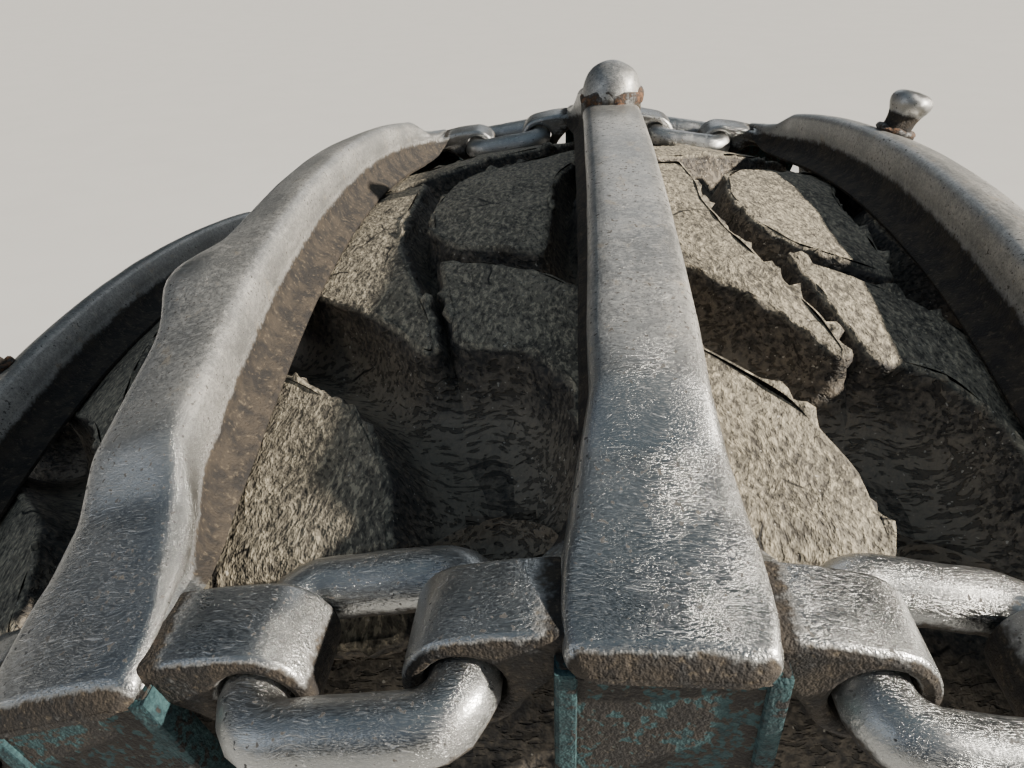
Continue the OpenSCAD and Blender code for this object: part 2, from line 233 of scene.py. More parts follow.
# Tyre. A worn rubber forestry tyre: a carcass with two rows of slanting lugs whose feet flare into
# it. Each lug is moulded once from its outline and set twenty times round, then worn unevenly.
AXLE_Y = -0.440
TYRE_R = 0.668
TREAD_ARCH_R = 1.146
LUG_DEPTH = 0.042
LUG_COUNT = 20
LUG_STEP, LUG_CELL, ROW_SHARE, RIM_GAP = 0.0045, 0.0075, 0.87, 0.6
BEAD_R, BEAD_HALF, LIP_R = 0.3368, 0.3047, 0.3745
# Outlines of a side's two lugs in mm: along the travel, outboard of the tyre's middle
LONG_LUG = [(-112, 88), (-71, 106), (-44, 119), (-19, 144), (10, 170), (41, 195), (76, 226), (96, 264),
            (103, 305), (103, 345), (-30, 345), (-26, 260), (-30, 222), (-52, 193), (-90, 187), (-98, 150),
            (-106, 118)]
CENTRE_LUG = [(2, -76), (60, -98), (64, -30), (62, 10), (70, 60), (88, 112), (104, 155), (112, 190), (103, 192),
              (80, 160), (55, 133), (27, 110), (-2, 92), (-18, 60), (-26, 5), (-18, -45)]
# A lug's flank from its top face down in mm: depth under the tread, and how far it stands outside the outline
LUG_WORN_TO = 30
LUG_FLANK = [(0.0, -3.6), (0.6, -1.9), (2.0, -0.6), (5, 0.6), (10, 2.2), (16, 4.6), (22, 8.0), (28, 12.5),
             (33, 18), (37, 25), (40, 33), (42.5, 43), (45, 56)]


def lumps(points, size, seed):
    """Smooth random values from -1 to 1 at points, in lumps of that size in metres."""
    q = np.asarray(points, float) / size + seed * 7.31
    low = np.floor(q).astype(np.int64)
    t = q - low
    t = t * t * (3 - 2 * t)
    total = 0.0
    for corner in np.ndindex(2, 2, 2):
        n = ((low + corner) * (374761393, 668265263, 2147483647)).sum(1)
        n = (n ^ (n >> 13)) * 1274126177
        value = ((n ^ (n >> 16)) & 0xFFFF) / 32767.5 - 1
        total = total + value * np.prod(np.where(corner, t, 1 - t), axis=1)
    return total


def smooth_line(points, step, rounds=0):
    """A polyline walked in equal steps, its corners eased by so many rounds of averaging."""
    points = np.asarray(points, float)
    lengths = np.r_[0, np.cumsum(np.linalg.norm(np.diff(points, axis=0), axis=1))]
    at = np.linspace(0, lengths[-1], max(2, round(lengths[-1] / step)) + 1)
    line = np.stack([np.interp(at, lengths, points[:, k]) for k in range(points.shape[1])], 1)
    for _ in range(rounds):
        line[1:-1] = (line[:-2] + 2 * line[1:-1] + line[2:]) / 4
    return line


def make_piece(name, verts, faces, material, smooth_angle=50):
    """A mesh object at the origin, smooth up to an angle in degrees."""
    mesh = bpy.data.meshes.new(name)
    mesh.from_pydata([tuple(v) for v in verts], [], [tuple(f) for f in faces])
    mesh.materials.append(material)
    mesh.polygons.foreach_set("use_smooth", [True] * len(mesh.polygons))
    mesh.set_sharp_from_angle(angle=math.radians(smooth_angle))
    piece = bpy.data.objects.new(name, mesh)
    bpy.context.scene.collection.objects.link(piece)
    return piece


def write_attribute(mesh, name, values):
    """A number or a vector for each point of the mesh, under a name."""
    values = np.asarray(values, np.float32)
    kind, key = ("FLOAT", "value") if values.ndim == 1 else ("FLOAT_VECTOR", "vector")
    mesh.attributes.new(name, kind, "POINT").data.foreach_set(key, values.ravel())


def ramp(values, low, high):
    """0 at low, 1 at high and straight between them; a fall where low is the greater."""
    return np.clip((values - low) / (high - low), 0, 1)


def arched(top, v):
    """Radius of the tread's arch at v across, with its top at the middle."""
    return top - TREAD_ARCH_R + np.sqrt(TREAD_ARCH_R ** 2 - v ** 2)


def tread_line():
    """The lugs' outer line from the crown over the shoulder: place across and radius."""
    crown = [(v, arched(TYRE_R, v)) for v in np.linspace(0, 0.296, 40)]
    shoulder = [(0.3045, 0.620), (0.3065, 0.604), (0.321, 0.596), (0.337, 0.584), (0.344, 0.566),
                (0.347, 0.540)]
    return smooth_line(crown + shoulder, 0.002, 6)


TREAD = tread_line()
TREAD_AT = np.r_[0, np.cumsum(np.linalg.norm(np.diff(TREAD, axis=0), axis=1))]
slope = np.gradient(TREAD, axis=0)
TREAD_OUT = np.stack([-slope[:, 1], slope[:, 0]], 1) / np.linalg.norm(slope, axis=1)[:, None]


def on_tread(along, across, depth):
    """Points that lie depth under the tread line, at along the travel and across from the middle (by arc)."""
    arc = np.clip(np.abs(across), 0, TREAD_AT[-1])
    v, r = [np.interp(arc, TREAD_AT, TREAD[:, k]) - np.interp(arc, TREAD_AT, TREAD_OUT[:, k]) * depth
            for k in (0, 1)]
    angle = np.arcsin(along / TYRE_R)
    return np.stack([r * np.sin(angle), AXLE_Y - v * np.sign(across), r * np.cos(angle)], 1)


def lug_shape(outline):
    """One lug: top face, rolled edge, flank and flared foot, with its wear (1 on the top, 0 at the foot)."""
    loop = smooth_line(np.array(outline + outline[:1], float) / 1000, LUG_STEP)[:-1]
    for _ in range(3):
        loop = (np.roll(loop, 1, 0) + 2 * loop + np.roll(loop, -1, 0)) / 4
    run = np.roll(loop, -1, 0) - np.roll(loop, 1, 0)
    out = np.stack([run[:, 1], -run[:, 0]], 1) / np.linalg.norm(run, axis=1)[:, None]
    area = np.sum(loop[:, 0] * np.roll(loop[:, 1], -1) - np.roll(loop[:, 0], -1) * loop[:, 1])
    if area < 0:
        out = -out
    verts, wear, faces = [], [], []
    count = len(loop)
    for depth, aside in LUG_FLANK:
        ring = loop + out * aside / 1000
        verts.append(on_tread(ring[:, 0], ring[:, 1], np.full(count, depth / 1000)))
        wear += [1 - min(1.0, depth / LUG_WORN_TO)] * count
    for k in range(len(LUG_FLANK) - 1):
        for i in range(count):
            a, b = k * count + i, k * count + (i + 1) % count
            faces.append((a, b, b + count, a + count) if area < 0 else (b, a, a + count, b + count))
    # The top face: points in staggered rows inside its rim, joined to it by triangles
    rim = loop + out * LUG_FLANK[0][1] / 1000
    lo, hi = rim.min(0), rim.max(0)
    rows = enumerate(np.arange(lo[1], hi[1], LUG_CELL * ROW_SHARE))
    inner = [(x + (0.5 * LUG_CELL if row % 2 else 0), y) for row, y in rows
             for x in np.arange(lo[0], hi[0], LUG_CELL)]
    flat = [Vector(p) for p in rim] + [Vector(p) for p in inner if clear_of(rim, p, LUG_CELL * RIM_GAP)]
    spots, _, triangles, *_ = delaunay_2d_cdt(flat, [(i, (i + 1) % count) for i in range(count)], [], 1, 1e-7)
    spots = np.array([tuple(p) for p in spots])
    first = len(LUG_FLANK) * count
    verts.append(on_tread(spots[:, 0], spots[:, 1], np.zeros(len(spots))))
    wear += [1.0] * len(spots)
    for triangle in triangles:
        (ax, ay), (bx, by), (cx, cy) = spots[list(triangle)]
        turn = (bx - ax) * (cy - ay) - (cx - ax) * (by - ay)
        corners = [first + i for i in triangle]
        faces.append(corners[::-1] if turn > 0 else corners)
    return np.concatenate(verts), faces, np.array(wear)


def clear_of(loop, point, gap):
    """True where the point is inside the loop and at least gap from its corners."""
    a, b = loop, np.roll(loop, -1, 0)
    crosses = (a[:, 1] > point[1]) != (b[:, 1] > point[1])
    with np.errstate(divide="ignore", invalid="ignore"):
        x = a[:, 0] + (point[1] - a[:, 1]) / (b[:, 1] - a[:, 1]) * (b[:, 0] - a[:, 0])
    inside = np.count_nonzero(crosses & (x > point[0])) % 2 == 1
    return inside and np.min(np.hypot(*(loop - point).T)) > gap


def open_tree(name, **inputs):
    """A new geometry tree with a mesh and these values as its inputs: the tree, their wires and identifiers."""
    tree = bpy.data.node_groups.new(name, "GeometryNodeTree")
    tree.interface.new_socket("Geometry", in_out="INPUT", socket_type="NodeSocketGeometry")
    tree.interface.new_socket("Geometry", in_out="OUTPUT", socket_type="NodeSocketGeometry")
    kinds = {int: "NodeSocketInt", float: "NodeSocketFloat", type(None): "NodeSocketMaterial"}
    ids = {}
    for label, value in inputs.items():
        kind = kinds[type(value)]
        socket = tree.interface.new_socket(label.replace("_", " "), in_out="INPUT", socket_type=kind)
        if value is not None:
            socket.default_value = value
        ids[label] = socket.identifier
    source = tree.nodes.new("NodeGroupInput").outputs
    given = {label: Wire(tree, source[label.replace("_", " ")]) for label in ("Geometry", *inputs)}
    return tree, given, ids


def close_tree(tree, geometry, material):
    """The tree's last nodes: the geometry takes its material and goes out."""
    shaded = add(tree, "GeometryNodeSetMaterial", None, {"Geometry": geometry, "Material": material})
    tree.links.new(shaded.socket, tree.nodes.new("NodeGroupOutput").inputs[0])


def stored_before(tree, name, kind="FLOAT"):
    """A named attribute of the geometry."""
    return add(tree, "GeometryNodeInputNamedAttribute", {"data_type": kind}, {"Name": name})


def vector(tree, x=0.0, y=0.0, z=0.0):
    return add(tree, "ShaderNodeCombineXYZ", None, {0: x, 1: y, 2: z})


def copied(tree, count, geometry, rotation):
    """So many instances of the geometry on one spot, each with its own rotation."""
    spots = add(tree, "GeometryNodeMeshLine", {"mode": "OFFSET"}, {"Count": count, "Offset": (0, 0, 0)})
    return add(tree, "GeometryNodeInstanceOnPoints", None,
               {"Points": spots, "Instance": geometry, "Rotation": rotation})


def pushed(tree, geometry, distance):
    """The geometry with its points moved out along their normals."""
    offset = add(tree, "ShaderNodeVectorMath", {"operation": "SCALE"},
                 {0: add(tree, "GeometryNodeInputNormal"), "Scale": distance})
    return add(tree, "GeometryNodeSetPosition", None, {"Geometry": geometry, "Offset": offset})


def set_round(name, material):
    """Geometry tree that sets a mesh so many times round the axle and roughens each copy its own way."""
    tree, given, ids = open_tree(name, Copies=LUG_COUNT, First_turn=0.0, Wave_depth=0.0, Wave_length=0.05,
                                 Tear_depth=0.0, Tear_length=0.012, Seed=0.0)
    step = given["Copies"] ** -1.0 * (2 * math.pi)
    turn = add(tree, "GeometryNodeInputIndex") * step + given["First_turn"]
    copies = copied(tree, given["Copies"], given["Geometry"], vector(tree, y=turn))
    solid = add(tree, "GeometryNodeRealizeInstances", None, {0: copies})
    place = add(tree, "ShaderNodeVectorMath", {"operation": "ADD"},
                {0: add(tree, "GeometryNodeInputPosition"), 1: vector(tree, *[given["Seed"]] * 3)})
    wave = add(tree, "ShaderNodeTexNoise", None,
               {"Vector": place, "Scale": given["Wave_length"] ** -1.0, "Detail": 2.0, "Roughness": 0.5})
    tear = add(tree, "ShaderNodeTexNoise", None,
               {"Vector": place, "Scale": given["Tear_length"] ** -1.0, "Detail": 3.0, "Roughness": 0.65})
    torn = tear.rise(0.50, 0.68) * stored_before(tree, "edge") * given["Tear_depth"]
    close_tree(tree, pushed(tree, solid, (wave - 0.5) * given["Wave_depth"] - torn), material)
    return tree, ids


def grown(piece, tree, ids, **values):
    """The piece with the tree's result as its plain mesh."""
    modifier = piece.modifiers.new("grow", "NODES")
    modifier.node_group = tree
    for label, value in values.items():
        modifier[ids[label]] = value
    bpy.context.view_layer.update()
    graph = bpy.context.evaluated_depsgraph_get()
    mesh = bpy.data.meshes.new_from_object(piece.evaluated_get(graph))
    piece.modifiers.remove(modifier)
    piece.data = mesh
    mesh.name = piece.name
    return piece


def drift_of(finish, scale, detail):
    """A coloured noise that leads a finish's coordinates astray."""
    sockets = {"Vector": finish.place, "Scale": scale, "Detail": detail}
    return finish.add("ShaderNodeTexNoise", None, sockets, out=1)


def drifted(finish, drift, amount):
    """The finish's coordinates led astray by a coloured noise, by so many metres."""
    return finish.add("ShaderNodeVectorMath", {"operation": "MULTIPLY_ADD"},
                      {0: drift, 1: (amount,) * 3, 2: finish.place})


rubber = Finish("worn_dusty_rubber")
wear = rubber.attribute("wear")
top = wear.rise(0.90, 0.985)
rubber_drift = drift_of(rubber, 26.0, 2.0)


def fissures(size, width, amount):
    """Fine dark cracks between cells so many metres across, with their width in metres."""
    cells = rubber.add("ShaderNodeTexVoronoi", {"feature": "DISTANCE_TO_EDGE"},
                       {"Vector": drifted(rubber, rubber_drift, amount), "Scale": 1 / size})
    return cells.rise(width / size, 0.15 * width / size)


def drawn_out(amount, turn, stretch):
    """Coordinates in which a noise's lumps are drawn out along the turned axes."""
    return rubber.add("ShaderNodeMapping", None,
                      {0: drifted(rubber, rubber_drift, amount), 2: turn, 3: stretch})


patch = rubber.noise(0.045, 3, 0.6)
grit = rubber.noise(0.0035, 2, 0.7)
fibre = rubber.noise(0.0026, 2, 0.75, at=drawn_out(0.015, (0.0, 0.0, 0.5), (1.0, 0.45, 0.8)))
wrinkle_at = drawn_out(0.022, (0.0, 0.3, 0.2), (0.28, 1.0, 1.0))
wrinkle = (rubber.noise(0.0031, 2, 0.6, at=wrinkle_at) + patch * 0.30).rise(0.67, 0.75)
crack = fissures(0.090, 0.0012, 0.030) * rubber.noise(0.06, 3).rise(0.55, 0.60)
crazing = fissures(0.021, 0.0005, 0.010) * rubber.noise(0.03, 3).rise(0.52, 0.66)
powder = (patch * 0.55 + grit * 0.25 + fibre * 0.35).rise(0.34, 0.72)
top_colour = rubber.coats(
    rubber.mix(powder, (0.072, 0.065, 0.053), (0.265, 0.236, 0.180)),
    (fibre.rise(0.55, 0.62) * 0.75, (0.47, 0.41, 0.30)),
    (fibre.rise(0.46, 0.38) * 0.70, (0.040, 0.036, 0.032)))
earth = (patch * 0.5 + grit * 0.5 - wear * 0.12).rise(0.30, 0.58)
settled = (wear + patch * 0.5).rise(0.42, 0.16)
# Flanks and carcass: earth and settled dust, and painted shade darkening the grooves of the wrinkles.
side_colour = rubber.coats(
    rubber.mix(earth, (0.040, 0.038, 0.037), (0.200, 0.170, 0.132)),
    (settled * 0.7, (0.30, 0.26, 0.205)),
    (wrinkle * 0.60, (0.016, 0.015, 0.014)))
specks = (rubber.noise(0.0024, 1, 0.4) + patch * 0.25).rise(0.865, 0.90)
rubber_colour = rubber.coats(
    rubber.mix(top, side_colour, top_colour),
    (crazing * (0.15 + top * 0.30), (0.03, 0.027, 0.024)),
    (crack, (0.012, 0.011, 0.010)),
    (specks * 0.8, (0.50, 0.46, 0.39)))
skin = rubber.bump(rubber.noise(0.016, 3, 0.6), 0.0024)
skin = rubber.bump(wrinkle * (top - 1), 0.0009, skin)
skin = rubber.bump(fibre * top + grit, 0.0010, skin)
rubber_material = rubber.close(Base_Color=rubber_colour, Roughness=0.60 + grit * 0.35, Normal=skin,
                               Specular_IOR_Level=0.35)

long_lug, centre_lug = lug_shape(LONG_LUG), lug_shape(CENTRE_LUG)
lug_verts, lug_wear = [np.concatenate([long_lug[k], centre_lug[k]]) for k in (0, 2)]
lug_faces = long_lug[1] + [[i + len(long_lug[0]) for i in face] for face in centre_lug[1]]
lug_edge = np.clip((lug_wear - 0.55) * 2.2, 0, 1) * (lug_wear < 1)
lug_tree, lug_ids = set_round("lugs_round_the_tyre", rubber_material)
for side, name in ((1, "tyre_lugs_outboard"), (-1, "tyre_lugs_inboard")):
    if side > 0:
        lugs = make_piece(name, lug_verts, lug_faces, rubber_material)
    else:
        lugs = make_piece(name, lug_verts * (1, -1, 1) + (0, 2 * AXLE_Y, 0), [face[::-1] for face in lug_faces],
                          rubber_material)
    write_attribute(lugs.data, "wear", lug_wear)
    write_attribute(lugs.data, "edge", lug_edge)
    grown(lugs, lug_tree, lug_ids, Copies=LUG_COUNT, First_turn=0.0 if side > 0 else math.pi / LUG_COUNT,
          Wave_depth=0.006, Wave_length=0.055, Tear_depth=0.006, Tear_length=0.013, Seed=float(side) + 2)
    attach(lugs, "wheel")

# Carcass. The tyre's moulded rubber body, whose beads sit tight on the rim. It is turned from one closed line
# of (radius, place across): bead, sidewall, shoulder and the tread's floor between the lugs.
TREAD_FLOOR = [(arched(TYRE_R - LUG_DEPTH, v), v) for v in np.linspace(0, 0.29, 16)]
SIDEWALL = [(0.600, 0.302), (0.584, 0.325), (0.560, 0.341), (0.530, 0.351), (0.5025, 0.3545), (0.470, 0.353),
            (0.4305, 0.341), (0.3925, 0.319), (0.3765, 0.3047)]
# Rings that the mould leaves on the sidewall: radius, half width and how far each stands proud. The line's
# steps are split where it lies further across than SIDE_FROM and within RING_REACH of a ring
MOULD_RINGS = [(0.548, 0.0016, 0.0016), (0.541, 0.0016, 0.0016), (0.484, 0.0022, 0.0014),
               (0.452, 0.0016, 0.0014), (0.418, 0.0060, 0.0034), (0.400, 0.0018, 0.0018)]
LINE_STEP, SIDE_FROM, RING_REACH, RING_SPLITS = 0.010, 0.3, 0.013, 5
BEAD = [(LIP_R, BEAD_HALF), (0.3445, BEAD_HALF), (BEAD_R, 0.297), (BEAD_R, 0.0)]


def bands(rows, around, first=0, inward=False, joined=False):
    """Faces between so many rings of points, one after the other; the last may be joined to the first."""
    faces = []
    for k in range(rows if joined else rows - 1):
        for i in range(around):
            j, low, high = (i + 1) % around, first + k * around, first + (k + 1) % rows * around
            face = (low + i, high + i, high + j, low + j)
            faces.append(face if inward else (face[0], face[3], face[2], face[1]))
    return faces


def turned_points(line, steps):
    """A line of (radius, height) turned round the Z axis, ring after ring; a radius may be an array."""
    angles = np.arange(steps) * 2 * math.pi / steps
    return np.concatenate([np.stack([r * np.sin(angles), r * np.cos(angles), np.full(steps, h)], 1)
                           for r, h in line])


def on_axle(points):
    """Points round the Z axis laid on the axle, what was up turned outboard."""
    x, y, z = np.asarray(points).T
    return np.stack([x, AXLE_Y - z, y], 1)


def ringed(line):
    """The half line with the mould's rings raised on it, in finer steps where they are."""
    line = smooth_line(line, LINE_STEP, 1)
    fine = [line[0]]
    for a, b in zip(line[:-1], line[1:]):
        near = min(abs(a[0] - ring[0]) for ring in MOULD_RINGS) < RING_REACH and a[1] > SIDE_FROM
        steps = RING_SPLITS if near else 1
        fine += [a + (b - a) * k / steps for k in range(1, steps + 1)]
    fine = np.array(fine)
    run = np.gradient(fine, axis=0)
    out = np.stack([-run[:, 1], run[:, 0]], 1) / np.linalg.norm(run, axis=1)[:, None]
    out *= np.sign(out[:, 1:] + 1e-9)
    proud = np.zeros(len(fine))
    for radius, half, height in MOULD_RINGS:
        proud = np.maximum(proud, height * ramp(np.abs(fine[:, 0] - radius), 1.5 * half, 0.5 * half))
    return fine + out * (proud * (fine[:, 1] > SIDE_FROM))[:, None]


half_line = ringed(TREAD_FLOOR + SIDEWALL).tolist() + BEAD
whole_line = [(r, -v) for r, v in half_line[-2:0:-1]] + half_line
CARCASS_STEPS = 280
carcass_points = turned_points(whole_line, CARCASS_STEPS)
carcass = make_piece("tyre_carcass", on_axle(carcass_points),
                     bands(len(whole_line), CARCASS_STEPS, joined=True), rubber_material)
write_attribute(carcass.data, "wear", np.interp(np.hypot(*carcass_points[:, :2].T),
                                                [0.34, 0.52, 0.58, 0.62], [0.75, 0.60, 0.42, 0.30]))
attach(carcass, "wheel")
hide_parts("tyre")

# Track shoes. Each is one drop forging of hard steel, worn bright by the ground: an arched crossbar whose ends
# step down over a knee and flare into paddles, straps that hook round the rings, and side plates that keep the
# track on the tyre. The paint lasts only on the side plates, and rust only where the ground doesn't reach.
SHOE_COUNT = 20
CROWN_R = 1.196
BAR_TOP, BAR_SAG = 0.7186, 0.418
REACH = 0.378
NOSE, NOSE_NARROWS, NOSE_DROPS = 0.007, 0.009, 0.008
# Rows along the bar: place across, drop of the top under the bar's arch, half width, edge roll, crown,
# depth of the waist, its half width, half width of the foot, whole depth
BAR_ROWS = [(v / 1000, *[x / 1000 for x in row]) for v, *row in [
    (0, 0, 20.6, 8, 0.9, 30, 16.0, 25.5, 50.0),
    (120, 0, 20.9, 8, 0.9, 30, 16.0, 25.5, 50.0),
    (200, 0, 22.1, 8, 1.0, 30, 17.0, 26.0, 50.0),
    (240, 0, 23.0, 8, 1.1, 30, 18.0, 26.0, 49.0),
    (278, 0, 22.8, 8, 1.1, 28, 20.0, 26.0, 46.0),
    (300, 10.5, 27.4, 9, 1.2, 20, 25.5, 29.0, 32.0),
    (322, 11.3, 31.0, 10, 1.4, 12, 30.4, 35.0, 22.0),
    (334, 11.3, 32.0, 9, 1.5, 9, 31.4, 40.0, 13.5),
    (346, 11.0, 32.6, 8, 1.6, 7, 31.9, 40.5, 10.0),
    (358, 9.8, 32.8, 7, 1.8, 6, 32.1, 39.5, 9.0),
    (366, 8.6, 32.6, 7, 1.9, 6, 32.0, 33.5, 11.0),
    (371, 8.0, 32.0, 7, 2.0, 7, 31.5, 32.5, 13.0),
    (378, 7.4, 31.0, 6, 2.0, 6, 30.4, 31.0, 12.0)]]


def bar_table():
    """The bar's rows at every millimetre across, with their steps eased."""
    fine = np.arange(0, REACH + 1e-6, 0.001)
    rows = np.array(BAR_ROWS)
    table = np.stack([np.interp(fine, rows[:, 0], rows[:, k]) for k in range(1, rows.shape[1])], 1)
    weights = np.exp(-0.5 * (np.arange(-6, 7) / 2.4) ** 2)
    weights /= weights.sum()
    padded = np.concatenate([table[6:0:-1], table, np.repeat(table[-1:], 6, 0)])
    return fine, [np.convolve(column, weights, "valid") for column in padded.T]


def bar_top(across):
    """Height of the bar's arch over the axle line, at a place across."""
    return BAR_TOP - BAR_SAG * across ** 2


def bar_ring(at, row, shrink, lower):
    """Half section of the bar, from the top's middle round the edge and down to the underside's middle."""
    drop, half, roll, crown, waist_at, waist, foot, depth = row
    half, foot, waist = half - shrink, foot - shrink, waist - shrink
    top = bar_top(at) - drop - lower
    low = bar_top(at) - drop - depth + lower * 0.6
    roll = min(roll, (top - low) * 0.48)
    side = top - crown - roll
    waist_z = min(top - waist_at, side - 0.001) if shrink == 0 else (side * 0.5 + low * 0.5)
    waist_z = max(waist_z, low + 0.25 * (side - low))
    points = [(0, top), (0.30 * half, top - 0.10 * crown), (0.58 * half, top - 0.42 * crown)]
    for turn in (84, 68, 52, 36, 18, 0):
        a = math.radians(turn)
        points.append((half - roll + roll * math.cos(a), side + roll * math.sin(a)))
    lip = (foot - waist) * 0.5
    return points + [(half * 0.65 + waist * 0.35, side * 0.55 + waist_z * 0.45), (waist, waist_z),
                     (waist + lip * 0.35, waist_z * 0.55 + low * 0.45),
                     (foot - lip * 0.25, waist_z * 0.24 + low * 0.76), (foot, waist_z * 0.10 + low * 0.90),
                     (foot - 0.0015, low), (foot * 0.5, low), (0, low)]


def forged_bar():
    """The crossbar with both its paddles as one closed skin in the shoe's own frame."""
    fine, columns = bar_table()
    body = np.r_[np.arange(0, 0.262, 0.008), np.arange(0.264, 0.318, 0.003),
                 np.arange(0.318, REACH - NOSE, 0.0035)]
    stations = [(v, 0.0) for v in body]
    stations += [(REACH - NOSE + NOSE * math.sin(a), 1 - math.cos(a)) for a in np.linspace(0, math.pi / 2, 9)]
    halves = []
    for v, fade in stations:
        row = [np.interp(v, fine, column) for column in columns]
        halves.append((v, bar_ring(v, row, NOSE_NARROWS * fade, NOSE_DROPS * fade)))
    halves = [(-v, half) for v, half in halves[:0:-1]] + halves
    verts = [(x, -v, z) for v, half in halves for x, z in half + [(-x, z) for x, z in half[-2:0:-1]]]
    count = 2 * len(halves[0][1]) - 2
    faces = bands(len(halves), count)
    for base, flip in ((0, False), ((len(halves) - 1) * count, True)):
        for i in range(count // 2):
            corners = [base + i, base + i + 1, base + (count - i - 1) % count, base + (count - i) % count]
            corners = list(dict.fromkeys(corners))
            if len(corners) > 2:
                faces.append(corners[::-1] if flip else corners)
    return np.array(verts), faces


def plate_between(loops, low, high, roll, round_steps=3):
    """A plate with rolled edges: outlines (x, z) filled between two places across; further loops are holes."""
    curve = bpy.data.curves.new("outline", "CURVE")
    curve.dimensions, curve.fill_mode = "2D", "BOTH"
    curve.extrude = (high - low) / 2 - roll
    curve.bevel_depth, curve.bevel_resolution, curve.offset = roll, round_steps - 1, -roll
    for loop in loops:
        spline = curve.splines.new("POLY")
        spline.points.add(len(loop) - 1)
        for point, (x, z) in zip(spline.points, loop):
            point.co = (x, z, 0, 1)
        spline.use_cyclic_u = True
    holder = bpy.data.objects.new("outline", curve)
    mesh = bpy.data.meshes.new_from_object(holder)
    verts = np.array([(v.co.x, -((low + high) / 2 + v.co.z), v.co.y) for v in mesh.vertices])
    faces = [tuple(p.vertices) for p in mesh.polygons]
    bpy.data.objects.remove(holder)
    bpy.data.curves.remove(curve)
    bpy.data.meshes.remove(mesh)
    return verts, faces


def on_side(plate, side):
    """A plate as it was made outboard (1), or its mirror image inboard (-1)."""
    verts, faces = plate
    return verts * (1, side, 1), [f[::-1] for f in faces] if side > 0 else faces


# The rings' eyes, the straps that hook round them and the side plate under each paddle
EYE_R, RING_LEN, RING_BAR, EYE_PLAY, EYE_WALL = 0.628, 0.095, 0.024, 0.003, 0.007
EYE_TURN = math.pi / SHOE_COUNT - math.asin((RING_LEN - RING_BAR) / 2 / EYE_R)
EYE = (EYE_R * math.sin(EYE_TURN), EYE_R * math.cos(EYE_TURN))
HOLE_R = RING_BAR / 2 + EYE_PLAY / 2
HOOK_R = HOLE_R + EYE_WALL
STRAP = (0.333, 0.369)
STRAP_TOP, STRAP_ROLL = 0.650, 0.0032
PLATE, PLATE_EDGE = (0.3655, 0.3745), (0.364, 0.3765)
PLATE_TOP, PLATE_LOW, PLATE_HALF, PLATE_CORNER, PLATE_ROLL = 0.6435, 0.535, 0.034, 0.016, 0.0016


def strap_outline():
    """The strap seen along the axle: a low arch under the paddle whose ends turn down round the rings' bars."""
    hook = [(EYE[0] + HOOK_R * math.cos(math.radians(a)), EYE[1] + HOOK_R * math.sin(math.radians(a)))
            for a in range(72, -171, -8)]
    half = [(0, STRAP_TOP), (0.020, STRAP_TOP), (0.036, STRAP_TOP - 0.0003), (0.050, STRAP_TOP - 0.0018)] + hook
    half += [(0.030, STRAP_TOP - 0.0155), (0.0, STRAP_TOP - 0.0165)]
    half = smooth_line(half, 0.0034, 2)
    return np.concatenate([half, (half * (-1, 1))[-2:0:-1]])


def arc_points(x, z, r, start, end):
    """Points every fifteen degrees of an arc round (x, z)."""
    count = round(abs(end - start) / 15)
    turns = [math.radians(start + (end - start) * i / count) for i in range(count + 1)]
    return [(x + r * math.cos(a), z + r * math.sin(a)) for a in turns]


def marked(verts, faces, grime=0.0, rust=0.0, paint=0.0, film=0.0):
    """A part of a shoe with its marks point by point: dirt and painted shade, rust, paint and a dusty film."""
    marks = np.zeros((len(verts), 4))
    for k, value in enumerate((grime, rust, paint, film)):
        marks[:, k] = value
    return verts, faces, marks


def shoe_parts():
    """The parts of one shoe, without its horn: the bar first, then a strap, a plate and its edges a side."""
    verts, faces = forged_bar()
    sunk = bar_top(verts[:, 1]) - verts[:, 2]
    across = np.abs(verts[:, 1])
    # Darker with depth under the bar's top: dirt on its sides and waist, and painted shade over them.
    grime = ramp(sunk, 0.018, 0.030) * np.maximum(0.35, ramp(across, 0.37, 0.32))
    # At the outboard nose: dirt, and a painted dark reflection of the ground.
    grime = np.maximum(grime, 0.85 * ramp(across, 0.3712, 0.3752))
    film = ramp(across, 0.30, 0.24) * ramp(sunk, 0.050, 0.034)
    parts = [marked(verts, faces, grime=grime, film=film)]
    outline = strap_outline()
    holes = [arc_points(hand * EYE[0], EYE[1], HOLE_R, 0, 345) for hand in (1, -1)]
    corner_x, corner_z = PLATE_HALF - PLATE_CORNER, PLATE_LOW + PLATE_CORNER
    plate = ([(-PLATE_HALF, PLATE_TOP), (PLATE_HALF, PLATE_TOP)]
             + arc_points(corner_x, corner_z, PLATE_CORNER, 0, -90)
             + arc_points(-corner_x, corner_z, PLATE_CORNER, -90, -180))
    inner, outer = PLATE_HALF - 0.0065, PLATE_HALF + 0.0005
    high, low = PLATE_TOP - 0.001, PLATE_LOW + 0.020
    edge = [(inner, high), (outer, high), (outer, low), (inner, low)]
    other_edge = [(-x, z) for x, z in edge][::-1]
    for side in (1, -1):
        verts, faces = on_side(plate_between([outline] + holes, *STRAP, STRAP_ROLL), side)
        # Dirt low on the strap; its middle under the paddle holds painted shade of the gap there, and its
        # outboard face a painted dark reflection of the ground.
        corner = ramp(np.abs(verts[:, 0]), 0.047, 0.035)
        front = ramp(np.abs(verts[:, 1]), 0.3668, 0.3678)
        grime = np.maximum(ramp(verts[:, 2], 0.639, 0.623), np.maximum(corner, front) * 0.85)
        parts.append(marked(verts, faces, grime=grime, rust=corner * 0.35))
        for loop, span, paint in ((plate, PLATE, 0.64), (edge, PLATE_EDGE, 0.95),
                                  (other_edge, PLATE_EDGE, 0.95)):
            piece = on_side(plate_between([loop], *span, PLATE_ROLL, 2), side)
            parts.append(marked(*piece, grime=0.9, paint=paint))
    return parts


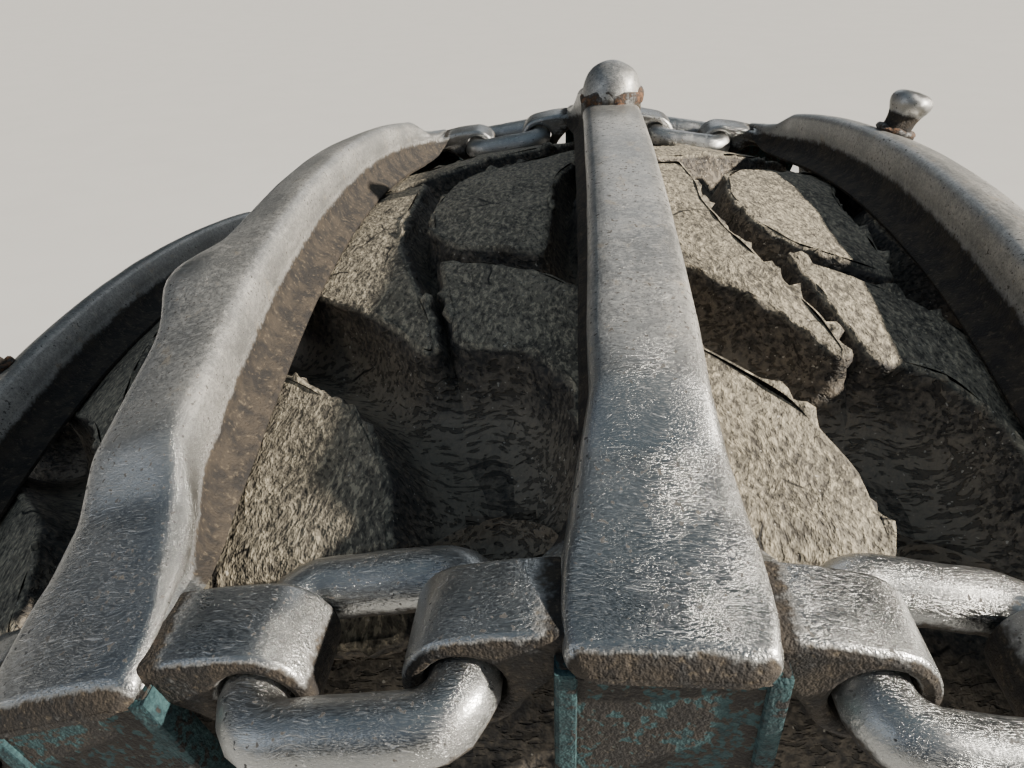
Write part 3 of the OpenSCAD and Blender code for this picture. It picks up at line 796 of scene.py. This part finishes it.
def swollen(bar, at, aside):
    """The bar with its skin raised over a horn that has worn down to its weld and is rubbed bright on top."""
    verts, faces, marks = bar[0].copy(), bar[1], bar[2].copy()
    sunk = bar_top(verts[:, 1]) - verts[:, 2]
    off = ((verts[:, 0] - aside) / 0.017) ** 2 + ((verts[:, 1] + at) / 0.034) ** 2
    rise = np.exp(-off) * ramp(sunk, 0.034, 0.020)
    verts[:, 2] += 0.0085 * rise
    verts[:, 0] -= 0.013 * rise * ramp(verts[:, 0], -0.004, -0.018)
    marks[:, 0] = np.maximum(marks[:, 0], 0.55 * ramp(np.abs(off - 1), 0.5, 0) * (sunk < 0.02))
    marks[:, 3] *= 1 - 0.9 * ramp(rise, 0.5, 1)
    return verts, faces, marks


# What the ground has left of a welded horn: a cap as wide as the bar, or a head on its neck. Its line of radius
# and height over the bar in mm, its depth over its width, and its weld: radius, half width, height, half height
HORN_LINES = {
    "cap": [(21.2, -12), (21.3, -4), (21.6, 2), (21.4, 7), (20.3, 12.5), (18.0, 17.5), (14.6, 21.4),
            (10.2, 24.4), (5.0, 26.2), (1.2, 26.6)],
    "head": [(12.4, -8), (11.6, 0), (10.9, 3), (10.4, 7), (10.5, 11), (11.8, 15), (14.2, 18.6), (16.0, 22.4),
             (16.0, 26), (14.0, 29), (9.8, 31.0), (4.6, 31.8), (1.0, 32)]}
HORN_DEPTH = {"cap": 1.0, "head": 0.92}
HORN_WELD = {"cap": (0.0203, 0.0020, 0.0036, 0.0042), "head": (0.0122, 0.0030, 0.0008, 0.0024)}
HORN_STEPS, WELD_STEPS, WELD_ROUND = 36, 44, 10


def jostled(points, size, seed):
    """Smooth random values from -1 to 1 in each direction."""
    return np.stack([lumps(points, size, seed + k) for k in range(3)], 1)


def horn_parts(at, aside, kind, seed):
    """A welded horn and the lumpy weld round its foot, set on the bar."""
    deep = (1, -HORN_DEPTH[kind], 1)
    line = smooth_line(np.array(HORN_LINES[kind]) / 1000, 0.0021, 2)
    verts = np.append(turned_points(line, HORN_STEPS) * deep, [(0, 0, line[-1, 1])], axis=0)
    faces = bands(len(line), HORN_STEPS)
    rim = len(verts) - 1 - HORN_STEPS
    faces += [(rim + i, rim + (i + 1) % HORN_STEPS, len(verts) - 1) for i in range(HORN_STEPS)]
    faces.append(range(HORN_STEPS)[::-1])
    high = verts[:, 2]
    if kind == "head":
        verts[:, 0] += np.maximum(high - 0.010, 0) * 0.10 - 0.05 * np.maximum(high - 0.024, 0)
        flat = -0.0090 - 0.2 * np.maximum(high - 0.012, 0)
        verts[:, 1] = np.where(high < 0.017, np.maximum(verts[:, 1], flat), verts[:, 1])
    verts += 0.0011 * jostled(verts, 0.014, seed)
    if kind == "cap":
        film, grime = 0.8, 0.7 * ramp(high, 0.010, 0.002)
    else:
        film, grime = 0.1, np.minimum(0.9, ramp(high, 0.018, 0.012))
    ring_r, half_width, height, half_height = HORN_WELD[kind]
    a = np.repeat(np.arange(WELD_STEPS), WELD_ROUND) * 2 * math.pi / WELD_STEPS
    b = np.tile(np.arange(WELD_ROUND), WELD_STEPS) * 2 * math.pi / WELD_ROUND
    r = ring_r + half_width * np.cos(b)
    weld = np.stack([r * np.sin(a), r * np.cos(a), height + half_height * np.sin(b)], 1) * deep
    weld[:, 2] += 0.0030 * lumps(weld, 0.018, seed + 9)
    weld += 0.0015 * jostled(weld, 0.0048, seed + 5)
    lean = math.asin(at / CROWN_R)
    placed = []
    for v, f, marks in (marked(verts, faces, grime=grime, film=film),
                        marked(weld, bands(WELD_STEPS, WELD_ROUND, joined=True), grime=0.75, rust=0.62)):
        x, y, z = (v + (aside, 0, CROWN_R)).T
        placed.append((np.stack([x, y * math.cos(lean) - z * math.sin(lean),
                                 y * math.sin(lean) + z * math.cos(lean) + BAR_TOP - CROWN_R], 1), f, marks))
    return placed


def merged(parts):
    """Parts with their marks as one."""
    verts, faces, marks = zip(*parts)
    shift = np.cumsum([0] + [len(points) for points in verts])
    faces = [tuple(i + first for i in face) for some, first in zip(faces, shift) for face in some]
    return np.concatenate(verts), faces, np.concatenate(marks)


MARKS = ("grime", "rust", "paint", "film")
steel = Finish("ground_worn_steel", "own")
dirt_and_shade_at, rust_at, paint_at, film_at = [steel.attribute(mark) for mark in MARKS]
bent = drifted(steel, drift_of(steel, 38.0, 1.0), 0.011)


def scratches(along, across, turn, keep):
    """Thin wavy scratches, so many to the metre across them, that lie at a turn to the travel."""
    lines = steel.add("ShaderNodeMapping", None, {0: bent, 2: (0, 0, turn), 3: (along, across, across)})
    return steel.noise(1.0, 1, 0.6, at=lines).rise(keep, keep + 0.08)


fine_lines = scratches(250, 3600, 0.30, 0.54) + scratches(280, 3400, -0.7, 0.55)
deep_lines = scratches(65, 1600, 0.55, 0.63)
cloud = steel.noise(0.045, 2, 0.6)
speck = steel.noise(0.0030, 2, 0.7)
smudge = steel.noise(0.012, 3, 0.65)
grains = steel.noise(0.0013, 1, 0.6)
dots = (steel.noise(0.0022, 1, 0.5) + cloud * 0.35).rise(0.850, 0.905)
# The grime mark soils the steel: dirt and painted shade, with dark dots of dirt.
stain_and_shade = (dirt_and_shade_at * 1.15 + smudge * 0.75 + speck * 0.40 - 0.98).rise(0.05, 0.50).maths("MAXIMUM", dots * 0.8)
rusty = (rust_at * 0.8 + smudge * 0.9 - 0.75).rise(0.05, 0.35)
dusty = film_at * (0.20 + smudge * 0.60 + speck * 0.25).limit()
chips = (paint_at * 0.42 + smudge * 0.80 + speck * 0.35 - 0.85).rise(0.0, 0.06) * paint_at.rise(0.1, 0.3)
# Bare steel in a random tone; its scratches are lighter, partly bright bare metal and partly painted glints.
bare = steel.coats(
    steel.mix(cloud.rise(0.38, 0.62), (0.31, 0.32, 0.32), (0.41, 0.41, 0.40)),
    (fine_lines.limit() * 0.26, (0.72, 0.715, 0.70)),
    (deep_lines.limit() * 0.6, (0.82, 0.815, 0.80)))
# The dusty film, in a random tone with grains and tan dust; its fine scratches are lighter, partly bare metal
# and partly painted glints.
film_colour = steel.coats(
    steel.mix((speck * 0.6 + cloud * 0.4).rise(0.40, 0.60), (0.20, 0.195, 0.183), (0.50, 0.485, 0.455)),
    (grains.rise(0.54, 0.64) * 0.7, (0.105, 0.10, 0.092)),
    (fine_lines.limit() * 0.40, (0.66, 0.645, 0.61)),
    (smudge.rise(0.60, 0.72) * 0.6, (0.42, 0.34, 0.235)))
# Dark brown soil, dark enough to be painted shade on the bars' sides as well as dirt.
soil_and_shade = steel.coats(
    steel.mix(smudge.rise(0.38, 0.64), (0.012, 0.010, 0.009), (0.040, 0.031, 0.022)),
    (speck.rise(0.58, 0.70) * 0.35, (0.17, 0.135, 0.090)))
steel_colour = steel.coats(
    bare, (dusty, film_colour), (stain_and_shade, soil_and_shade),
    (rusty, steel.mix(speck.rise(0.40, 0.62), (0.040, 0.024, 0.017), (0.17, 0.085, 0.043))),
    (chips, steel.mix(speck.rise(0.40, 0.66), (0.006, 0.028, 0.034), (0.024, 0.066, 0.072))))
covered = stain_and_shade.maths("MAXIMUM", chips).maths("MAXIMUM", rusty)
relief = steel.bump((speck + grains) * (dirt_and_shade_at + 0.12), 0.0007)
relief = steel.bump(fine_lines * -0.4 - deep_lines, 0.00008, relief)
sheen = 0.24 + cloud * 0.10 + fine_lines.limit() * 0.08 + deep_lines.limit() * 0.12 + dusty * 0.16
steel_material = steel.close(
    Base_Color=steel_colour, Metallic=(1 - covered) * (1 - dusty * 0.45), Normal=relief,
    Roughness=sheen * (1 - covered) + covered * 0.80)

# Dents in the forging, and how far each shoe's pattern lies from the one before
DENT_DEPTH, DENT_SIZE = 0.00025, 0.028
PATTERN_SHIFT = np.array((0.37, 0.21, 0))
# Horns in turn from shoe to shoe: place across, place along and what is left of them
HORNS = [(-0.058, 0.0, "cap"), (-0.099, 0.0, "head"), (0.099, 0.0, "head"), (0.148, -0.014, "stub")]
plain = shoe_parts()
for number in range(SHOE_COUNT):
    at, aside, kind = HORNS[number % len(HORNS)]
    if kind == "stub":
        verts, faces, marks = merged([swollen(plain[0], at, aside)] + plain[1:])
    else:
        verts, faces, marks = merged(plain + horn_parts(at, aside, kind, number * 3 + 1))
    own = verts + PATTERN_SHIFT * number
    x, y, z = (verts + DENT_DEPTH * jostled(own, DENT_SIZE, number)).T
    turn = number * 2 * math.pi / SHOE_COUNT
    placed = np.stack([x * math.cos(turn) + z * math.sin(turn), y + AXLE_Y,
                       z * math.cos(turn) - x * math.sin(turn)], 1)
    shoe = make_piece(f"shoe_{number + 1:02d}_forging", placed, faces, steel_material, 40)
    write_attribute(shoe.data, "own", own)
    for mark, values in zip(MARKS, marks.T):
        write_attribute(shoe.data, mark, values)
    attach(shoe, "wheel")
    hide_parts(f"shoe_{number + 1:02d}")

# Ring links. Round steel bar bent into a long ring and welded flush; each passes through the eyes of two
# neighbouring shoes. They are polished where they rub and pitted brown where they don't.
RING_W, RING_CORNER = 0.087, 0.015
RING_STEP, RING_AROUND, CORNER_STEPS = 0.005, 20, 9
LUMPS_TO_A_METRE, PITS_TO_A_METRE, LUMP_DEPTH = 60.0, 240.0, 0.0016
RING_AT = (STRAP[0] + STRAP[1]) / 2
RING_R = EYE_R * math.cos(math.pi / SHOE_COUNT - EYE_TURN)
RING_SIDES = ((-1, "ring_links_outboard", "rings_outboard", 0.0),
              (1, "ring_links_inboard", "rings_inboard", 40.0))


def stored(tree, geometry, name, value, kind="FLOAT", domain="POINT"):
    """The geometry with a named attribute written on it."""
    return add(tree, "GeometryNodeStoreNamedAttribute", {"data_type": kind, "domain": domain},
               {"Geometry": geometry, "Name": name, "Value": value})


def ring_tree(name, material):
    """Geometry tree: a round bar along a filleted rectangle, so many rings set round the axle."""
    tree, given, ids = open_tree(name, Rings=SHOE_COUNT, Length=RING_LEN, Width=RING_W, Bar=RING_BAR,
                                 Corner=RING_CORNER, Radius=0.6, Across=0.0, Pit_depth=0.001, Seed=0.0)
    loop = add(tree, "GeometryNodeCurvePrimitiveQuadrilateral", None,
               {"Width": given["Length"] - given["Bar"], "Height": given["Width"] - given["Bar"]})
    loop = add(tree, "GeometryNodeFilletCurve", {"mode": "POLY"},
               {"Curve": loop, "Count": CORNER_STEPS, "Radius": given["Corner"]})
    loop = add(tree, "GeometryNodeResampleCurve", {"mode": "LENGTH"},
               {"Curve": loop, "Length": RING_STEP})
    section = add(tree, "GeometryNodeCurvePrimitiveCircle", {"mode": "RADIUS"},
                  {"Resolution": RING_AROUND, "Radius": given["Bar"] * 0.5})
    bar = add(tree, "GeometryNodeCurveToMesh", None, {"Curve": loop, "Profile Curve": section})
    here = add(tree, "GeometryNodeInputPosition")
    height = add(tree, "ShaderNodeSeparateXYZ", None, {0: here}, out=2)
    bar = stored(tree, bar, "own", here, "FLOAT_VECTOR")
    bar = stored(tree, bar, "grime", height.rise(0.006, -0.010))
    bar = add(tree, "GeometryNodeTransform", None,
              {"Geometry": bar, "Translation": vector(tree, y=given["Across"], z=given["Radius"])})
    number = add(tree, "GeometryNodeInputIndex")
    turn = (number + 0.5) * (given["Rings"] ** -1.0) * (2 * math.pi)
    copies = copied(tree, given["Rings"], bar, vector(tree, y=turn))
    copies = stored(tree, copies, "number", number + given["Seed"], domain="INSTANCE")
    solid = add(tree, "GeometryNodeRealizeInstances", None, {0: copies})
    count = stored_before(tree, "number")
    own = add(tree, "ShaderNodeVectorMath", {"operation": "ADD"},
              {0: stored_before(tree, "own", "FLOAT_VECTOR"), 1: vector(tree, count * 0.31, count * 0.17)})
    solid = stored(tree, solid, "own", own, "FLOAT_VECTOR")
    lump, pit = [add(tree, "ShaderNodeTexNoise", None, {"Vector": own, "Scale": scale, "Detail": 2.0})
                 for scale in (LUMPS_TO_A_METRE, PITS_TO_A_METRE)]
    pits = pit.rise(0.48, 0.66) * stored_before(tree, "grime") * given["Pit_depth"]
    close_tree(tree, pushed(tree, solid, (lump - 0.5) * LUMP_DEPTH - pits), material)
    return tree, ids


links_tree, links_ids = ring_tree("ring_links_round_the_wheel", steel_material)
for side, name, node, seed in RING_SIDES:
    links = make_piece(name, [(0, 0, 0)], [], steel_material)
    grown(links, links_tree, links_ids, Rings=SHOE_COUNT, Radius=RING_R, Across=AXLE_Y + side * RING_AT,
          Seed=seed)
    links.data.polygons.foreach_set("use_smooth", [True] * len(links.data.polygons))
    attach(links, "wheel")
    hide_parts(node)

# Rim. A rolled steel barrel with a deep drop centre and a dished disc welded into it, painted grey. Dust and
# mud cling to it in patches, and the lips are chipped to rust where stones have struck them.
rim = Finish("dusty_rim_paint")
x, z = [rim.add("ShaderNodeSeparateXYZ", None, {0: rim.place}, out=k) for k in (0, 2)]
radius = (x * x + z * z) ** 0.5
cloudy, spotty = rim.noise(0.09, 5, 0.6), rim.noise(0.0045, 4, 0.65)
splash = rim.noise(0.018, 4, 0.7)
rim_dust = (cloudy * 0.8 + spotty * 0.45 - 0.60).rise(0.0, 0.42)
mud = (splash * 0.8 + spotty * 0.3).rise(0.63, 0.72)
chip = (radius.rise(LIP_R - 0.012, LIP_R - 0.002) * 0.16 + spotty * 0.5 + splash * 0.5).rise(0.60, 0.64)
rim_colour = rim.coats(
    rim.mix(cloudy.rise(0.35, 0.65), (0.215, 0.222, 0.225), (0.1548, 0.1598, 0.1620)),
    (rim_dust * 0.78, (0.235, 0.205, 0.165)),
    (mud * 0.8, (0.105, 0.082, 0.058)),
    (chip, rim.mix(spotty.rise(0.4, 0.6), (0.055, 0.026, 0.014), (0.19, 0.085, 0.035))))
rim_skin = rim.bump(rim.noise(0.0025, 3, 0.6), 0.0004, rim.bump(chip * -1.0 + mud, 0.0010))
rim_paint = rim.close(Base_Color=rim_colour, Normal=rim_skin,
                      Roughness=(0.38 + rim_dust * 0.42 + mud * 0.3 + chip * 0.3).limit())


def dress(node, material):
    """Gives a carried-over solid its finish."""
    solid = bpy.data.objects[node]
    if not solid.material_slots:
        solid.data.materials.append(None)
    for slot in solid.material_slots:
        slot.link = "OBJECT"
        slot.material = material


for node in ("rim_barrel", "rim_disc"):
    dress(node, rim_paint)

# Weld between disc and barrel, on both faces of the disc. It is laid as one bead of overlapping ripples of
# filler steel and painted over with the rim.
WELD_R = 0.2950


def bead_tree(name, material):
    """Geometry tree: a welded bead round the axle, its section swelling and shrinking with each ripple."""
    tree, given, ids = open_tree(name, Radius=0.29, Outboard=0.0, Size=0.006, Ripples=260, Depth=0.12)
    ring = add(tree, "GeometryNodeCurvePrimitiveCircle", {"mode": "RADIUS"},
               {"Resolution": given["Ripples"] * 4.0, "Radius": given["Radius"]})
    swell = (add(tree, "GeometryNodeInputIndex") * (math.pi / 2)).maths("SINE") * given["Depth"] + 1.0
    section = add(tree, "GeometryNodeCurvePrimitiveCircle", {"mode": "RADIUS"},
                  {"Resolution": 8, "Radius": given["Size"]})
    bead = add(tree, "GeometryNodeCurveToMesh", None, {"Curve": ring, "Profile Curve": section, "Scale": swell})
    bead = add(tree, "GeometryNodeTransform", None,
               {"Geometry": bead, "Translation": vector(tree, y=given["Outboard"] * -1.0 + AXLE_Y),
                "Rotation": vector(tree, x=math.pi / 2)})
    close_tree(tree, add(tree, "GeometryNodeRealizeInstances", None, {0: bead}), material)
    return tree, ids


weld_tree, weld_ids = bead_tree("disc_weld_bead", rim_paint)
for outboard, name in ((0.0045, "disc_weld_outboard"), (-0.0305, "disc_weld_inboard")):
    bead = make_piece(name, [(0, 0, 0)], [], rim_paint)
    grown(bead, weld_tree, weld_ids, Radius=WELD_R, Outboard=outboard, Size=0.0055, Ripples=230, Depth=0.14)
    bead.data.polygons.foreach_set("use_smooth", [True] * len(bead.data.polygons))
    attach(bead, "wheel")

# Planetary hub and axle end. Iron castings under black paint, machined only on seats that don't show; the
# paint is dusty and in places oily, and its grain is the sand of the mould.
casting = Finish("black_casting_paint")
veil, crumb = casting.noise(0.07, 5, 0.6), casting.noise(0.0035, 4, 0.7)
casting_dust = (veil * 0.75 + crumb * 0.45 - 0.50).rise(0.0, 0.5)
oily = casting.noise(0.05, 3, 0.5, warp=0.6).rise(0.60, 0.72)
flake = (crumb * 0.6 + veil * 0.4).rise(0.60, 0.63)
casting_colour = casting.coats(
    casting.mix(casting_dust * 0.62, (0.022, 0.023, 0.025), (0.165, 0.142, 0.112)),
    (oily * 0.7, (0.010, 0.009, 0.008)),
    (flake, (0.115, 0.052, 0.025)))
casting_grain = casting.bump(casting.noise(0.012, 3), 0.0014)
casting_grain = casting.bump(casting.noise(0.0016, 3, 0.6), 0.0007, casting_grain)
casting_material = casting.close(
    Base_Color=casting_colour, Normal=casting_grain,
    Roughness=(0.42 + casting_dust * 0.4 - oily * 0.22 + flake * 0.3).limit())
for node in ("mount_flange", "hub_carrier", "planet_drum"):
    dress(node, casting_material)


def rounded(corners, roll):
    """A line with its inner corners rolled to a radius; corners that are too close get a smaller one."""
    corners = np.asarray(corners, float)
    line = [corners[0]]
    for before, here, after in zip(corners[:-2], corners[1:-1], corners[2:]):
        a, b = before - here, after - here
        reach = min(roll, np.linalg.norm(a) * 0.45, np.linalg.norm(b) * 0.45)
        p, q = here + a / np.linalg.norm(a) * reach, here + b / np.linalg.norm(b) * reach
        line += [(1 - t) ** 2 * p + 2 * t * (1 - t) * here + t * t * q for t in np.linspace(0, 1, 4)]
    return line + [corners[-1]]


# Cover of the planet drum. A turned iron plate with a domed middle, painted with the drum and held by twelve
# flanged bolts; two oil plugs are screwed into it.
COVER_FACE, COVER_R = 0.150, 0.1185
cover_line = rounded([(0, COVER_FACE - 0.001), (COVER_R, COVER_FACE - 0.001), (COVER_R, COVER_FACE + 0.0155),
                      (0.094, COVER_FACE + 0.0165), (0.090, COVER_FACE + 0.0145), (0.070, COVER_FACE + 0.0145),
                      (0.060, COVER_FACE + 0.0250), (0.030, COVER_FACE + 0.0275),
                      (0, COVER_FACE + 0.0280)], 0.003)
COVER_STEPS = 96
turned_rows = turned_points(cover_line[1:-1], COVER_STEPS)
cover_verts = on_axle([(0, 0, cover_line[0][1]), *turned_rows, (0, 0, cover_line[-1][1])])
last = len(turned_rows) + 1
rim_at = last - COVER_STEPS
cover_faces = [(0, 1 + (i + 1) % COVER_STEPS, 1 + i) for i in range(COVER_STEPS)]
cover_faces += bands(len(cover_line) - 2, COVER_STEPS, first=1)
cover_faces += [(rim_at + i, rim_at + (i + 1) % COVER_STEPS, last) for i in range(COVER_STEPS)]
cover = make_piece("planet_cover", cover_verts, cover_faces, casting_material, 30)
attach(cover, "wheel")
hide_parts("drum_cover")


def ended(rows, around, first=0):
    """Faces of a solid made of rings of points: the bands between them and both flat ends."""
    ends = [tuple(range(first, first + around)),
            tuple(range(first + (rows - 1) * around, first + rows * around))[::-1]]
    return bands(rows, around, first, inward=True) + ends


def hexagon_head(flat, tall, chamfer, flange_r, flange_t):
    """A chamfered hexagon head on a round flange, seat at 0 and outboard upwards, as rings of 24 points."""
    sector = (np.arange(24) * math.pi / 12 + math.pi / 6) % (math.pi / 3) - math.pi / 6
    hexagon = flat / 2 / np.cos(sector)
    rings = [(flange_r, 0), (flange_r, flange_t * 0.6), (flange_r * 0.94, flange_t),
             (hexagon, flange_t + 0.0002), (hexagon, tall - chamfer),
             (np.minimum(hexagon, flat / 2 * 1.02), tall), (flat / 2 * 0.55, tall)]
    return turned_points(rings, 24), ended(len(rings), 24)


def circle_tree(name):
    """Geometry tree: sets a mesh on a circle round the axle, so many times, its own Z axis turned outboard."""
    tree, given, ids = open_tree(name, Count=10, Circle=0.1, Outboard=0.0, First_turn=0.0, Loose_turn=0.0,
                                 Material=None)

    def moved(kind, copies, sockets):
        return add(tree, kind, None, {"Instances": copies, "Local Space": False, **sockets})

    number = add(tree, "GeometryNodeInputIndex")
    turn = number * (given["Count"] ** -1.0) * (2 * math.pi) + given["First_turn"]
    loose = add(tree, "FunctionNodeRandomValue", {"data_type": "FLOAT"},
                {2: -1.0, 3: 1.0, "ID": number, "Seed": 5}, out=1)
    copies = copied(tree, given["Count"], given["Geometry"], vector(tree, z=loose * given["Loose_turn"]))
    copies = moved("GeometryNodeRotateInstances", copies, {"Rotation": vector(tree, x=math.pi / 2)})
    copies = moved("GeometryNodeTranslateInstances", copies, {"Translation": vector(tree, z=given["Circle"])})
    copies = moved("GeometryNodeRotateInstances", copies,
                   {"Rotation": vector(tree, y=turn), "Pivot Point": (0, 0, 0)})
    shift = vector(tree, y=given["Outboard"] * -1.0 + AXLE_Y)
    copies = moved("GeometryNodeTranslateInstances", copies, {"Translation": shift})
    close_tree(tree, add(tree, "GeometryNodeRealizeInstances", None, {0: copies}), given["Material"])
    return tree, ids


circle, circle_ids = circle_tree("set_on_a_circle")
BOLT_HEAD = hexagon_head(0.0175, 0.0095, 0.0012, 0.0118, 0.0022)
PLUG_HEAD = hexagon_head(0.0220, 0.0080, 0.0015, 0.0150, 0.0020)
for name, head, count, circle_r, seat, first_turn in (
        ("cover_bolts", BOLT_HEAD, 12, COVER_R - 0.013, COVER_FACE + 0.0158, 0.0),
        ("cover_oil_plugs", PLUG_HEAD, 2, 0.080, COVER_FACE + 0.0144, 0.4)):
    bolts = make_piece(name, *head, casting_material, 30)
    grown(bolts, circle, circle_ids, Count=count, Circle=circle_r, Outboard=seat, First_turn=first_turn,
          Loose_turn=0.5, Material=casting_material)
    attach(bolts, "wheel")

# Wheel studs, nuts and valve. Ten cold-formed steel studs with flanged nuts that clamp the disc to the drum,
# and the tyre's valve in the rim: all zinc plated, gone dull and spotted with rust.
STUD_CIRCLE, HUB_FACE = 0.1675, 0.030
zinc = Finish("dull_zinc")
powdery, patchy = zinc.noise(0.0030, 4, 0.7), zinc.noise(0.020, 4, 0.6)
dull = (powdery * 0.5 + patchy * 0.6).rise(0.42, 0.66)
rust_spot = (powdery * 0.6 + patchy * 0.5).rise(0.66, 0.71)
zinc_colour = zinc.coats(
    zinc.mix(dull, (0.46, 0.455, 0.43), (0.21, 0.185, 0.15)),
    (rust_spot, (0.16, 0.070, 0.030)))
zinc_material = zinc.close(
    Base_Color=zinc_colour, Metallic=(1 - dull * 0.75) * (1 - rust_spot), Roughness=0.34 + dull * 0.40,
    Normal=zinc.bump(powdery, 0.0005))


def stud_and_nut():
    """One flanged nut and the end of its stud with its thread, the seat at 0 and outboard upwards."""
    verts, faces = hexagon_head(0.032, 0.027, 0.0022, 0.0238, 0.0055)
    root, crest, pitch, turns, steps = 0.0100, 0.0109, 0.00136, 6, 20
    line = [(root, 0.0262)]
    for k in range(turns):
        line += [(root, 0.0268 + k * pitch), (crest, 0.0274 + k * pitch)]
    line += [(root, 0.0345), (0.0088, 0.0358)]
    return np.concatenate([verts, turned_points(line, steps)]), faces + ended(len(line), steps, len(verts))


nuts = make_piece("wheel_nuts_and_studs", *stud_and_nut(), zinc_material, 30)
grown(nuts, circle, circle_ids, Count=10, Circle=STUD_CIRCLE, Outboard=HUB_FACE, First_turn=0.0,
      Loose_turn=0.5, Material=zinc_material)
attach(nuts, "wheel")
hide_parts("wheel_nuts")
dress("valve", zinc_material)
